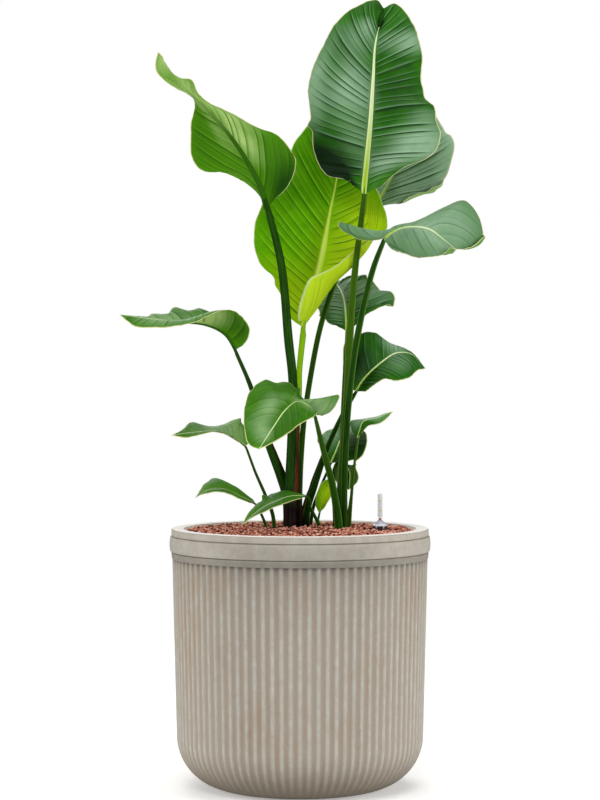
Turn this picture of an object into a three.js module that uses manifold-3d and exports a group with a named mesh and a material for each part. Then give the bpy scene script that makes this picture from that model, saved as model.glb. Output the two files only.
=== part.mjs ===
// A bird of paradise plant, about 1.3 m tall, standing in a ribbed round planter.
// Millimetres, +Z up. The origin is the centre of the planter's flat base, and the front is -Y.
import * as THREE from 'three';
import { mergeVertices } from 'three/addons/utils/BufferGeometryUtils.js';
import Module from 'manifold-3d';

const wasm = await Module();
wasm.setup();

// ---- driving dimensions ----

const clearance = 0.35; // between pieces that touch

const planterHeight = 426;
const planterDiameter = 430; // over the bulge of the rim band
const rimDiameter = 424; // outer edge of the flat lip
const mouthDiameter = 380; // inner edge of the flat lip
const lipThickness = 12;
const shoulderRadius = 210.5; // body just under the band
const ankleRadius = 203.5; // body where the bottom starts to round
const bottomRound = 86; // radius of the rounded bottom corner
const wallThickness = 5.5;
const hollowSegments = 40; // facets round the hollow, and round the fill in it
const hollowSteps = 4; // facets of its rounded corner
const ribCount = 88;
const ribDepth = 3;
const bandLevel = 377; // underside of the rim band
const lowerGrooveLevel = 388;
const upperGrooveLevel = 414;
const grooveDepth = 2.6;

const fillLevel = 419; // granulate at the wall
const fillHeap = 4; // how much higher it lies in the middle
const granuleBump = 2.2; // height of the largest granules in the surface
const fillRings = 10;
const stalkFoot = 362; // lower end of every stalk, in its hole
const holeClearance = 1.2;

const gaugeX = 132;
const gaugeSegments = 16;
const gaugeTop = 482.5;
const gaugeTubeRadius = 4;
const gaugeBellRadius = 12.5;
const gaugeBellFoot = 416;
const gaugeShaftRadius = 10.8;
const gaugeShaftTop = 429;
const gaugeShaftFoot = 16; // over the rounded corner of the floor
const gaugeFootLip = 3; // thickness of the shaft's foot, which the float rests on
const gaugeFloatRest = 440.5; // middle of the pointer ball when the reservoir is empty

const bladeThickness = 1.3;
const keelDepth = 4.5; // how far the midrib stands out under the blade at its base
const keelHalfWidth = 3.6;
const neckGap = 0.5; // from the end of a stalk to the keel of its blade
const neckBend = 9; // length of stalk that lines up with the midrib
const pleatHeight = 0.9; // the side veins raise and sink the blade by this much
const bladeArch = 0.09; // crown of each half blade, as a share of its width
const stalkSides = 8;
const stalkGroove = 0.78; // the stalk's inner face is hollowed to this share of its radius

const colours = {
  planter: 0xb3ac9e,
  granulate: 0xb5694f,
  clear: 0xdfe4e2,
  shaft: 0x2b2a28,
  pointer: 0xd8452b,
  darkLeaf: 0x35603a,
  brightLeaf: 0x5f9a12,
  freshLeaf: 0x4c8a28,
  stalk: 0x2c5216,
};

const finishes = {
  planter: { roughness: 0.75, metalness: 0 },
  granulate: { roughness: 0.95, metalness: 0 },
  clear: { roughness: 0.1, metalness: 0, transparent: true, opacity: 0.35 },
  shaft: { roughness: 0.5, metalness: 0 },
  pointer: { roughness: 0.4, metalness: 0 },
  darkLeaf: { roughness: 0.4, metalness: 0 },
  brightLeaf: { roughness: 0.45, metalness: 0 },
  freshLeaf: { roughness: 0.42, metalness: 0 },
  stalk: { roughness: 0.5, metalness: 0 },
};

// ---- helpers ----

const plant = new THREE.Group();

function add(name, geometry, finish) {
  const material = new THREE.MeshStandardMaterial({ color: colours[finish], ...finishes[finish] });
  const mesh = new THREE.Mesh(geometry, material);
  mesh.name = name;
  plant.add(mesh);
  return mesh;
}

function toSolid(geometry) {
  const bare = new THREE.BufferGeometry();
  bare.setAttribute('position', geometry.attributes.position);
  if (geometry.index) bare.setIndex(geometry.index);
  const merged = mergeVertices(bare, 1e-4);
  return new wasm.Manifold(new wasm.Mesh({
    numProp: 3,
    vertProperties: Float32Array.from(merged.attributes.position.array),
    triVerts: Uint32Array.from(merged.index.array),
  }));
}

function toGeometry(solid) {
  const mesh = solid.getMesh();
  const geometry = new THREE.BufferGeometry();
  geometry.setAttribute('position', new THREE.BufferAttribute(mesh.vertProperties, 3));
  geometry.setIndex(new THREE.BufferAttribute(mesh.triVerts, 1));
  geometry.computeVertexNormals();
  return geometry;
}

// A body of revolution about Z. The profile is [radius, height] pairs, listed from the bottom up
// along the outside, so that the faces point out.
function turned(profile, segments) {
  const points = profile.map(([radius, height]) => new THREE.Vector2(radius, height));
  return new THREE.LatheGeometry(points, segments).rotateX(Math.PI / 2);
}

function closedGeometry(positions, triangles) {
  const geometry = new THREE.BufferGeometry();
  geometry.setAttribute('position', new THREE.Float32BufferAttribute(positions, 3));
  geometry.setIndex(triangles);
  geometry.computeVertexNormals();
  return geometry;
}

const toVector = ([x, y, z]) => new THREE.Vector3(x, y, z);

const railThrough = (points) => new THREE.CatmullRomCurve3(points, false, 'centripetal');

// A repeatable number from 0 to 1 for a place in the granulate.
function speckle(ring, step) {
  const wave = Math.sin(ring * 127.1 + step * 311.7) * 43758.5453;
  return wave - Math.floor(wave);
}

// ---- planter ----

// Body radius from the flat base, round the bottom corner and up the straight side to the band.
function bodyOutline(cornerSteps) {
  const outline = [];
  for (let step = 0; step <= cornerSteps; step += 1) {
    const angle = (step / cornerSteps) * (Math.PI / 2);
    const radius = ankleRadius - bottomRound + bottomRound * Math.sin(angle);
    outline.push([radius, bottomRound - bottomRound * Math.cos(angle)]);
  }
  outline.push([shoulderRadius, bandLevel + 4]);
  return outline;
}

// The ribs are a crest and a valley in turn, and die out towards the base.
function ribbedBody() {
  const outline = bodyOutline(4);
  const around = ribCount * 2;
  const positions = [0, 0, 0];
  const triangles = [];
  for (const [radius, height] of outline) {
    const fade = Math.min(1, Math.max(0, height / (bottomRound * 0.35)));
    for (let step = 0; step < around; step += 1) {
      const angle = (step / around) * 2 * Math.PI;
      const r = radius - (step % 2 ? ribDepth * fade : 0);
      positions.push(r * Math.cos(angle), r * Math.sin(angle), height);
    }
  }
  const topCentre = positions.length / 3;
  positions.push(0, 0, outline[outline.length - 1][1]);
  const ring = (level, step) => 1 + level * around + (step % around);
  for (let step = 0; step < around; step += 1) {
    triangles.push(0, ring(0, step + 1), ring(0, step));
    for (let level = 0; level < outline.length - 1; level += 1) {
      const [a, b] = [ring(level, step), ring(level, step + 1)];
      const [c, d] = [ring(level + 1, step), ring(level + 1, step + 1)];
      triangles.push(a, b, d, a, d, c);
    }
    triangles.push(topCentre, ring(outline.length - 1, step), ring(outline.length - 1, step + 1));
  }
  return closedGeometry(positions, triangles);
}

// Rim band: a gentle bulge between two grooves, a thin lower band, and the flat lip on top.
function rimBand() {
  const bulge = planterDiameter / 2;
  const edge = rimDiameter / 2;
  const profile = [
    [0, bandLevel],
    [edge - 1, bandLevel],
    [edge, lowerGrooveLevel - 2],
    [edge - grooveDepth, lowerGrooveLevel],
    [bulge - 1, lowerGrooveLevel + 2.5],
    [bulge, (lowerGrooveLevel + upperGrooveLevel) / 2],
    [bulge - 1.2, upperGrooveLevel - 2.5],
    [edge - grooveDepth, upperGrooveLevel],
    [edge, upperGrooveLevel + 2.5],
    [edge, planterHeight],
    [0, planterHeight],
  ];
  return turned(profile, 64);
}

// What the hollow inside holds: the mouth through the lip, then the room under it.
function hollow(inset) {
  const profile = [[0, wallThickness + inset]];
  const innerRound = bottomRound - wallThickness;
  for (let step = 0; step <= hollowSteps; step += 1) {
    const angle = (step / hollowSteps) * (Math.PI / 2);
    const radius = ankleRadius - bottomRound + innerRound * Math.sin(angle) - ribDepth - inset;
    profile.push([radius, bottomRound + inset - innerRound * Math.cos(angle)]);
  }
  const underLip = planterHeight - lipThickness - inset;
  profile.push([shoulderRadius - wallThickness - ribDepth - inset, underLip - 10]);
  profile.push([mouthDiameter / 2 - inset, underLip]);
  return profile;
}

function planter() {
  const body = toSolid(ribbedBody()).add(toSolid(rimBand()));
  const room = hollow(0);
  room.push([mouthDiameter / 2, planterHeight - 2], [mouthDiameter / 2 + 3, planterHeight + 2]);
  room.push([0, planterHeight + 2]);
  return toGeometry(body.subtract(toSolid(turned(room, hollowSegments))));
}

// ---- leaves ----

// Each leaf is drawn by its midrib and by the edges of its left and right halves, seen from its
// upper face with the tip up. foldLeft or foldRight is the crease that a half turns over at.
// stalk is the path of its stalk from the granulate up, with the radius there as a fourth number, and
// neck is its radius at the blade. setBack ends it a little lower where the blade starts on the skew.
// rows is the number of stretches between side veins, and cells the number of strips in each half.
const leaves = [
  {
    name: '01', finish: 'darkLeaf', rows: 20, cells: 3, // tall upper leaf, facing the front
    midrib: [[107, 62, 980], [115, 70, 1040], [123, 84, 1105], [129, 106, 1182], [132, 126, 1239],
      [144, 152, 1304]],
    left: [[84, 60, 1002], [47, 64, 1010], [27, 78, 1039], [19, 102, 1090], [16, 122, 1165],
      [31, 130, 1222],
      [67, 146, 1283], [113, 154, 1314]],
    right: [[136, 48, 993], [171, 32, 1021], [213, 30, 1039], [233, 38, 1068], [219, 62, 1124],
      [202, 86, 1167],
      [205, 104, 1218], [184, 136, 1287], [161, 148, 1310]],
    stalk: [[67, 30, 424, 6], [68, 32, 490, 5.8], [73, 34, 570, 5.7], [78, 38, 638, 5.6],
      [83, 46, 743, 5.6],
      [92, 54, 853, 4.8], [98, 58, 903, 4.4]],
    neck: 3.6,
  },
  {
    name: '02', finish: 'brightLeaf', rows: 18, cells: 3, // behind the first, its right half folded over
    midrib: [[5, 64, 758], [15, 74, 804], [27, 86, 849], [49, 120, 948], [63, 148, 1014], [78, 196, 1118]],
    left: [[-10, 70, 768], [-27, 76, 785], [-40, 78, 830], [-64, 76, 859], [-76, 80, 900], [-67, 92, 949],
      [-41, 116, 1008], [-2, 156, 1083], [45, 190, 1135]],
    right: [[-3, 54, 768], [-3, 44, 788], [5, 38, 813], [17, 38, 839], [53, 44, 856], [87, 66, 897],
      [142, 112, 954], [123, 146, 1007], [97, 182, 1082]],
    foldRight: [[10, 70, 767], [27, 64, 788], [55, 62, 827], [87, 68, 860], [111, 82, 895], [115, 104, 933],
      [102, 134, 982], [87, 160, 1037], [81, 184, 1086]],
    stalk: [[-12, 43, 425, 4.6], [-10, 43, 486, 4.6], [-6, 43, 570, 4.6], [-2, 46, 649, 4.6],
      [-1, 51, 686, 4.2],
      [5, 61, 745, 4.6]],
    neck: 3.6,
  },
  {
    name: '03', finish: 'freshLeaf', rows: 18, cells: 3, // upper left, leaning forward
    midrib: [[-54, 10, 952], [-66, -8, 990], [-86, -28, 1026], [-113, -52, 1065], [-153, -86, 1109],
      [-191, -116, 1143], [-225, -140, 1190]],
    left: [[-43, 26, 968], [-18, 38, 994], [-7, 32, 1033], [-25, 22, 1060], [-59, 2, 1080],
      [-95, -22, 1096],
      [-148, -60, 1118], [-175, -98, 1151], [-209, -122, 1163], [-220, -138, 1184]],
    right: [[-69, 8, 983], [-106, 6, 1003], [-145, 0, 1012], [-172, -14, 1026], [-177, -44, 1069],
      [-169, -78, 1115], [-198, -104, 1137], [-223, -124, 1154], [-229, -136, 1177]],
    stalk: [[-20, 12, 425, 7.2], [-18, 13, 490, 6.6], [-14, 16, 570, 6.4], [-12, 16, 668, 6.5],
      [-19, 16, 736, 6.5], [-31, 14, 861, 5.8]],
    neck: 4.4,
  },
  {
    name: '04', finish: 'darkLeaf', rows: 16, cells: 2, // behind the first, to the right
    midrib: [[143, 172, 961], [155, 182, 996], [166, 192, 1040], [171, 202, 1088], [170, 214, 1137],
      [160, 226, 1191]],
    left: [[131, 180, 979], [114, 194, 1011], [108, 206, 1059], [111, 216, 1120], [132, 224, 1166]],
    right: [[165, 160, 970], [202, 150, 981], [241, 148, 1004], [263, 160, 1060], [253, 174, 1092],
      [228, 194, 1132], [195, 214, 1169]],
    stalk: [[-2, 30, 425, 4.8], [-1, 32, 487, 4.6], [1, 37, 530, 4.2], [6, 50, 596, 4], [11, 58, 634, 4],
      [33, 84, 753, 4], [56, 94, 826, 3.8], [88, 118, 890, 3.6], [123, 152, 939, 3.2]],
    neck: 2.8,
  },
  {
    name: '05', finish: 'freshLeaf', rows: 18, cells: 2, // right, draping over
    midrib: [[138, -8, 902], [157, -22, 915], [178, -34, 920], [209, -52, 915], [231, -66, 898],
      [251, -78, 881]],
    left: [[86, 8, 908], [66, 16, 922], [67, 26, 932], [88, 36, 908], [115, 44, 901], [160, 48, 912],
      [213, 40, 940],
      [250, 26, 960], [274, 8, 965], [296, -20, 925], [294, -46, 898], [269, -66, 883]],
    right: [[132, -30, 894], [147, -58, 886], [180, -92, 870], [215, -104, 868], [239, -94, 874]],
    stalk: [[74, 12, 423, 4.8], [73, 13, 491, 4.8], [76, 14, 570, 4.8], [81, 16, 638, 4.8],
      [95, 14, 742, 4.8],
      [120, 6, 851, 4.2]],
    neck: 3, setBack: 0.7,
  },
  {
    name: '06', finish: 'freshLeaf', rows: 16, cells: 2, // left, held out level
    midrib: [[-106, 14, 720], [-124, 6, 746], [-155, -6, 761], [-213, -26, 766], [-293, -52, 776]],
    left: [[-96, 8, 727], [-84, -12, 750], [-98, -34, 771], [-127, -50, 782], [-153, -58, 779],
      [-185, -64, 785],
      [-215, -66, 783], [-256, -62, 772]],
    right: [[-111, 26, 733], [-120, 44, 759], [-147, 60, 778], [-191, 58, 776], [-235, 22, 759],
      [-272, -24, 759]],
    stalk: [[-31, 25, 425, 5.8], [-32, 24, 487, 5.8], [-49, 24, 560, 4.2], [-80, 20, 653, 3.4],
      [-93, 18, 676, 3]],
    neck: 2.4,
  },
  {
    name: '07', finish: 'freshLeaf', rows: 10, cells: 2, // small, left
    midrib: [[-83, 4, 544], [-100, -6, 569], [-130, -20, 585], [-163, -32, 585], [-209, -46, 580]],
    left: [[-93, -10, 553], [-115, -30, 576], [-138, -42, 583], [-160, -48, 581], [-182, -50, 576],
      [-197, -48, 576]],
    right: [[-76, 12, 556], [-88, 24, 587], [-103, 30, 603], [-131, 26, 592], [-164, 10, 595],
      [-190, -20, 590]],
    stalk: [[-42, 10, 422, 3], [-46, 12, 450, 2.8], [-58, 10, 481, 2.4], [-74, 6, 518, 2]],
    neck: 1.6,
  },
  {
    name: '08', finish: 'darkLeaf', rows: 18, cells: 3, // large, front left, arching forward
    midrib: [[25, -20, 612], [11, -26, 629], [-5, -36, 635], [-24, -62, 621], [-43, -94, 594],
      [-65, -124, 560]],
    left: [[31, -40, 619], [21, -56, 610], [-2, -84, 597], [-27, -106, 579], [-51, -120, 566]],
    right: [[36, -14, 611], [50, -12, 617], [61, -14, 632], [63, -14, 643], [39, -8, 638],
      [12, -4, 635], [-2, -3, 652], [-18, -5, 665],
      [-56, -18, 669], [-81, -46, 650], [-90, -80, 614], [-86, -110, 577], [-77, -119, 564]],
    stalk: [[64, 0, 423, 6.4], [60, -2, 454, 5.8], [54, -6, 499, 5], [46, -12, 543, 4.4],
      [35, -16, 576, 3.6]],
    neck: 2.4, setBack: 0.9,
  },
  {
    name: '09', finish: 'freshLeaf', rows: 10, cells: 2, // small, low in front
    midrib: [[10, -22, 480], [-16, -26, 479], [-39, -40, 472], [-62, -62, 462], [-94, -100, 437]],
    left: [[2, -34, 476], [-19, -50, 471], [-45, -72, 462], [-74, -92, 450]],
    right: [[0, -12, 482], [-15, -2, 486], [-33, 0, 487], [-59, -20, 476], [-80, -60, 459]],
    stalk: [[34, 4, 423, 2.8], [24, -2, 446, 2.4], [16, -10, 462, 2.1]],
    neck: 1.7,
  },
  {
    name: '10', finish: 'darkLeaf', rows: 14, cells: 2, // in the middle, leaning back
    midrib: [[78, 70, 751], [78, 86, 770], [76, 114, 800], [71, 146, 819], [59, 205, 840]],
    left: [[66, 84, 758], [46, 100, 770], [31, 120, 788], [29, 150, 811], [43, 182, 831]],
    right: [[92, 66, 760], [110, 62, 777], [137, 66, 793], [158, 80, 800], [154, 100, 817], [126, 134, 836],
      [103, 164, 847], [80, 194, 843]],
    stalk: [[69, 50, 422, 3.2], [68, 50, 489, 3.2], [70, 51, 569, 3.2], [73, 54, 646, 3], [77, 62, 715, 3]],
    neck: 2.4,
  },
  {
    name: '11', finish: 'freshLeaf', rows: 14, cells: 2, // right of the middle, leaning back
    midrib: [[94, 66, 650], [107, 72, 670], [139, 100, 700], [165, 124, 715], [192, 148, 712],
      [216, 170, 688]],
    left: [[77, 66, 663], [72, 74, 693], [81, 88, 728], [105, 104, 750], [133, 126, 746], [163, 148, 731],
      [192, 162, 715]],
    right: [[110, 56, 650], [125, 54, 661], [144, 60, 672], [174, 86, 669], [192, 112, 679],
      [205, 146, 688]],
    stalk: [[9, 45, 425, 5], [14, 44, 461, 5], [22, 44, 486, 4.8], [35, 50, 526, 4.2], [45, 56, 554, 3.8],
      [69, 64, 607, 3.2]],
    neck: 2.4,
  },
  {
    name: '12', finish: 'darkLeaf', rows: 10, cells: 2, // low at the back
    midrib: [[52, 86, 529], [60, 100, 547], [69, 128, 567], [87, 196, 592]],
    left: [[42, 90, 539], [32, 98, 556], [31, 114, 572], [51, 150, 584], [73, 182, 590]],
    right: [[66, 80, 530], [88, 84, 533], [108, 96, 548], [113, 126, 572], [102, 168, 588]],
    stalk: [[18, 54, 427, 2.6], [23, 56, 459, 2.4], [30, 60, 478, 2.2], [39, 70, 500, 2]],
    neck: 1.6,
  },
  {
    name: '13', finish: 'freshLeaf', rows: 9, cells: 2, // small, right of the stalks
    midrib: [[95, 2, 574], [99, -4, 587], [104, -12, 601], [126, -34, 608], [151, -58, 619]],
    left: [[86, 6, 587], [83, 8, 602], [99, 4, 605], [128, -16, 610], [142, -40, 616]],
    right: [[102, -10, 583], [113, -24, 595], [130, -44, 599], [144, -57, 610]],
    stalk: [[82, 10, 424, 2.4], [86, 8, 491, 2.2], [90, 6, 531, 1.9]],
    neck: 1.5,
  },
  {
    name: '14', finish: 'darkLeaf', rows: 7, cells: 2, // small, behind the stalks
    midrib: [[62, 58, 530], [72, 62, 528], [82, 66, 517], [82, 66, 485]],
    left: [[55, 56, 522], [54, 58, 509], [67, 63, 492]],
    right: [[72, 66, 531], [89, 71, 526], [98, 72, 510], [92, 69, 493]],
    stalk: [[58, 60, 423, 2.2], [56, 56, 470, 2], [57, 53, 505, 1.7]],
    neck: 1.5, setBack: 0.7,
  },
  {
    name: '15', finish: 'brightLeaf', rows: 7, cells: 2, // youngest, upright
    midrib: [[32, 24, 449], [38, 27, 470], [52, 36, 505]],
    left: [[26, 26, 460], [28, 32, 482], [40, 37, 502]],
    right: [[40, 20, 457], [52, 20, 477], [60, 29, 498]],
    stalk: [[32, 22, 424, 2], [30, 23, 439, 1.8]],
    neck: 1.5,
  },
  {
    name: '16', finish: 'freshLeaf', rows: 9, cells: 2, // small, low on the left
    midrib: [[-74, 4, 466], [-99, 0, 478], [-125, -6, 490], [-148, -14, 490], [-171, -30, 478]],
    left: [[-82, -6, 467], [-102, -22, 474], [-128, -34, 486], [-155, -38, 485]],
    right: [[-82, 14, 476], [-103, 28, 489], [-127, 36, 501], [-145, 32, 505], [-163, 0, 492]],
    stalk: [[-56, 12, 425, 2.2], [-64, 8, 448, 1.9]],
    neck: 1.5,
  },
];

// The edge of a half blade, ended just beside the tip.
function edgeRail(points, tip) {
  const inner = points.map(toVector);
  const last = inner[inner.length - 1];
  const end = last.clone().sub(tip).setLength(1.2).add(tip);
  return railThrough([...inner, end]);
}

// Point across a half blade: share 0 is the midrib, 1 the edge, and the crease lies half way.
function acrossHalf(middle, crease, edge, share) {
  return new THREE.Vector3()
    .addScaledVector(middle, (1 - share) * (1 - 2 * share))
    .addScaledVector(crease, 4 * share * (1 - share))
    .addScaledVector(edge, share * (2 * share - 1));
}

function bladeRails(leaf) {
  const midrib = railThrough(leaf.midrib.map(toVector));
  const tip = toVector(leaf.midrib[leaf.midrib.length - 1]);
  const sides = [[leaf.left, leaf.foldLeft], [leaf.right, leaf.foldRight]].map(([edge, fold]) => ({
    edge: edgeRail(edge, tip),
    crease: fold ? edgeRail(fold, tip) : null,
  }));
  return { midrib, sides };
}

// Grid of points over the blade's middle surface, row by row from base to tip and from the left
// edge to the right, with the upper side's direction at each row.
function bladeGrid(leaf) {
  const { midrib, sides } = bladeRails(leaf);
  const grid = [];
  for (let row = 0; row <= leaf.rows; row += 1) {
    const along = row / leaf.rows;
    const middle = midrib.getPointAt(along);
    const heading = midrib.getTangentAt(along);
    const [leftEdge, rightEdge] = sides.map((side) => side.edge.getPointAt(along));
    const up = rightEdge.clone().sub(leftEdge).cross(heading).normalize();
    const halves = sides.map((side, index) => {
      const edge = index === 0 ? leftEdge : rightEdge;
      const width = edge.distanceTo(middle);
      const crease = side.crease ? side.crease.getPointAt(along)
        : middle.clone().lerp(edge, 0.5).addScaledVector(up, bladeArch * width);
      const shares = [Math.min(0.25, keelHalfWidth / width)];
      for (let cell = 1; cell <= leaf.cells; cell += 1) {
        shares.push(shares[0] + (1 - shares[0]) * (cell / leaf.cells));
      }
      return shares.map((share) => acrossHalf(middle, crease, edge, share));
    });
    grid.push([...halves[0].reverse(), middle, ...halves[1]]);
  }
  return grid;
}

// Outward direction of the upper face at every grid point, from the neighbouring points.
function gridNormals(grid) {
  const at = (row, column) => grid[Math.max(0, Math.min(grid.length - 1, row))][
    Math.max(0, Math.min(grid[0].length - 1, column))];
  return grid.map((line, row) => line.map((point, column) => {
    const forward = at(row + 1, column).clone().sub(at(row - 1, column));
    const sideways = at(row, column + 1).clone().sub(at(row, column - 1));
    return sideways.cross(forward).normalize();
  }));
}

// A closed thin blade with side-vein pleats and a keel under the midrib.
function blade(leaf) {
  const grid = bladeGrid(leaf);
  const normals = gridNormals(grid);
  const columns = grid[0].length;
  const centre = (columns - 1) / 2;
  const upper = [];
  const lower = [];
  grid.forEach((line, row) => {
    const along = row / leaf.rows;
    line.forEach((point, column) => {
      const normal = normals[row][column];
      const fromCentre = Math.abs(column - centre);
      const inside = row > 0 && row < leaf.rows && fromCentre > 1;
      const pleat = inside ? pleatHeight * (row % 2 ? 1 : -1) : 0;
      const keel = fromCentre === 0 ? THREE.MathUtils.lerp(keelDepth, 0.6, along) : 0;
      upper.push(point.clone().addScaledVector(normal, pleat + bladeThickness / 2));
      lower.push(point.clone().addScaledVector(normal, pleat - bladeThickness / 2 - keel));
    });
  });
  const positions = [...upper, ...lower].flatMap((point) => point.toArray());
  const under = upper.length;
  const at = (row, column) => row * columns + column;
  const triangles = [];
  for (let row = 0; row < leaf.rows; row += 1) {
    for (let column = 0; column < columns - 1; column += 1) {
      const [a, b] = [at(row, column), at(row, column + 1)];
      const [c, d] = [at(row + 1, column), at(row + 1, column + 1)];
      triangles.push(a, b, d, a, d, c);
      triangles.push(under + a, under + d, under + b, under + a, under + c, under + d);
    }
    for (const [column, flip] of [[0, false], [columns - 1, true]]) {
      const [a, c] = [at(row, column), at(row + 1, column)];
      if (flip) triangles.push(a, under + a, under + c, a, under + c, c);
      else triangles.push(a, under + c, under + a, a, c, under + c);
    }
  }
  for (let column = 0; column < columns - 1; column += 1) {
    const [a, b] = [at(0, column), at(0, column + 1)];
    triangles.push(a, under + a, under + b, a, under + b, b);
    const [c, d] = [at(leaf.rows, column), at(leaf.rows, column + 1)];
    triangles.push(c, under + d, under + c, c, d, under + d);
  }
  return closedGeometry(positions, triangles);
}

// Where a stalk meets its blade: just behind the keel at the blade's base, under the blade.
function bladeRoot(leaf) {
  const { midrib, sides } = bladeRails(leaf);
  const heading = midrib.getTangentAt(0);
  const [leftEdge, rightEdge] = sides.map((side) => side.edge.getPointAt(0.25));
  const up = rightEdge.sub(leftEdge).cross(heading).normalize();
  const drop = leaf.neck * 1.15 + bladeThickness / 2 + clearance;
  const gap = neckGap + (leaf.setBack || 0);
  const end = midrib.getPointAt(0).addScaledVector(heading, -gap).addScaledVector(up, -drop);
  return { heading, end };
}

// A stalk: straight down in its hole, then along its path, grooved on the side towards the middle
// of the plant, and ended just short of the blade.
function stalk(leaf) {
  const [footX, footY, , footRadius] = leaf.stalk[0];
  const { heading: blade, end } = bladeRoot(leaf);
  const approach = end.clone().addScaledVector(blade, -neckBend);
  const stops = [[footX, footY, stalkFoot, footRadius], [footX, footY, 396, footRadius], ...leaf.stalk,
    [...approach.toArray(), leaf.neck * 1.1], [...end.toArray(), leaf.neck]];
  const path = railThrough(stops.map(toVector));
  const spans = stops.length - 1;
  const stepsPerSpan = spans > 6 ? 1 : 2;
  const positions = [];
  const triangles = [];
  let side = new THREE.Vector3(-footX || 1, -footY, 0).normalize();
  const rings = spans * stepsPerSpan;
  for (let ring = 0; ring <= rings; ring += 1) {
    const along = ring / rings;
    const centre = path.getPoint(along);
    const heading = path.getTangent(along);
    side = side.addScaledVector(heading, -side.dot(heading)).normalize();
    const across = heading.clone().cross(side);
    const span = Math.min(spans - 1, Math.floor(ring / stepsPerSpan));
    const share = ring / stepsPerSpan - span;
    const radius = THREE.MathUtils.lerp(stops[span][3], stops[span + 1][3], share);
    for (let corner = 0; corner < stalkSides; corner += 1) {
      const angle = (corner / stalkSides) * 2 * Math.PI;
      const reach = radius * (corner === 0 ? stalkGroove : 1);
      const point = centre.clone().addScaledVector(side, reach * Math.cos(angle))
        .addScaledVector(across, reach * Math.sin(angle));
      positions.push(...point.toArray());
    }
  }
  for (let ring = 0; ring < rings; ring += 1) {
    for (let corner = 0; corner < stalkSides; corner += 1) {
      const next = (corner + 1) % stalkSides;
      const [a, b] = [ring * stalkSides + corner, ring * stalkSides + next];
      triangles.push(a, b, b + stalkSides, a, b + stalkSides, a + stalkSides);
    }
  }
  const top = rings * stalkSides;
  for (let corner = 1; corner < stalkSides - 1; corner += 1) {
    triangles.push(0, corner + 1, corner);
    triangles.push(top, top + corner, top + corner + 1);
  }
  return closedGeometry(positions, triangles);
}

// ---- granulate ----

// The fill follows the inside of the planter. Its top is heaped and rough with granules, and has a
// plain round hole for each stalk and for the gauge.
function granulate() {
  const profile = hollow(clearance);
  const reach = mouthDiameter / 2 - clearance;
  for (let ring = 0; ring <= fillRings; ring += 1) {
    const share = 1 - ring / fillRings;
    profile.push([reach * share, fillLevel + fillHeap * (1 - share * share)]);
  }
  const shape = mergeVertices(turned(profile, hollowSegments), 1e-4);
  const place = shape.attributes.position;
  for (let index = 0; index < place.count; index += 1) {
    const radius = Math.hypot(place.getX(index), place.getY(index));
    if (place.getZ(index) < fillLevel || radius > reach - 1) continue;
    const ring = Math.round((radius / reach) * fillRings);
    const turn = Math.atan2(place.getY(index), place.getX(index)) / (2 * Math.PI) + 1;
    const step = Math.round(turn * hollowSegments) % hollowSegments;
    place.setZ(index, place.getZ(index) + granuleBump * (speckle(ring, step) - 0.5));
  }
  let solid = toSolid(shape);
  const boreDepth = 100; // through the surface, from just under the stalk's foot
  for (const leaf of leaves) {
    const [x, y, , radius] = leaf.stalk[0];
    const boreRadius = radius + holeClearance;
    const bore = new THREE.CylinderGeometry(boreRadius, boreRadius, boreDepth, stalkSides);
    bore.rotateX(Math.PI / 2).translate(x, y, stalkFoot - clearance + boreDepth / 2);
    solid = solid.subtract(toSolid(bore));
  }
  const well = turned([
    [0, 0],
    [gaugeShaftRadius + clearance, 0],
    [gaugeShaftRadius + clearance, gaugeBellFoot - clearance],
    [gaugeBellRadius + clearance, gaugeBellFoot - clearance],
    [gaugeBellRadius + clearance, planterHeight + 20],
    [0, planterHeight + 20],
  ], gaugeSegments);
  well.translate(gaugeX, 0, 0);
  return toGeometry(solid.subtract(toSolid(well)));
}

// ---- water gauge ----

// Clear cap: a narrow tube closed at its top, over a bell that stands in the granulate.
function gaugeCap() {
  const wall = 1.2;
  const bellTop = 431;
  const neck = 439;
  return turned([
    [gaugeBellRadius - wall, gaugeBellFoot],
    [gaugeBellRadius, gaugeBellFoot],
    [gaugeBellRadius, bellTop],
    [gaugeTubeRadius, neck],
    [gaugeTubeRadius, gaugeTop - 2],
    [gaugeTubeRadius - 2, gaugeTop],
    [0, gaugeTop],
    [0, gaugeTop - wall],
    [gaugeTubeRadius - wall, gaugeTop - 2.5],
    [gaugeTubeRadius - wall, neck],
    [gaugeBellRadius - wall, bellTop],
    [gaugeBellRadius - wall, gaugeBellFoot],
  ], gaugeSegments).translate(gaugeX, 0, 0);
}

// Dark shaft down to the planter's floor, open at the bottom for the water.
function gaugeShaft() {
  const inner = gaugeShaftRadius - 2;
  const foot = gaugeShaftFoot;
  return turned([
    [4, foot],
    [gaugeShaftRadius, foot],
    [gaugeShaftRadius, gaugeShaftTop],
    [2.4, gaugeShaftTop],
    [2.4, gaugeShaftTop - 3],
    [inner, gaugeShaftTop - 3],
    [inner, foot + gaugeFootLip],
    [4, foot + gaugeFootLip],
    [4, foot],
  ], gaugeSegments).translate(gaugeX, 0, 0);
}

// Float, rod and pointer ball in one, resting on the shaft's foot.
function gaugeFloat() {
  const rest = gaugeShaftFoot + gaugeFootLip + clearance;
  const rod = 1.1;
  const ball = 2.1;
  return turned([
    [0, rest],
    [7, rest],
    [7, rest + 45],
    [rod, rest + 50],
    [rod, gaugeFloatRest - ball],
    [ball, gaugeFloatRest - 0.8],
    [ball, gaugeFloatRest + 0.8],
    [rod, gaugeFloatRest + ball],
    [0, gaugeFloatRest + ball],
  ], 12).translate(gaugeX, 0, 0);
}

// ---- assembly ----

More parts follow.
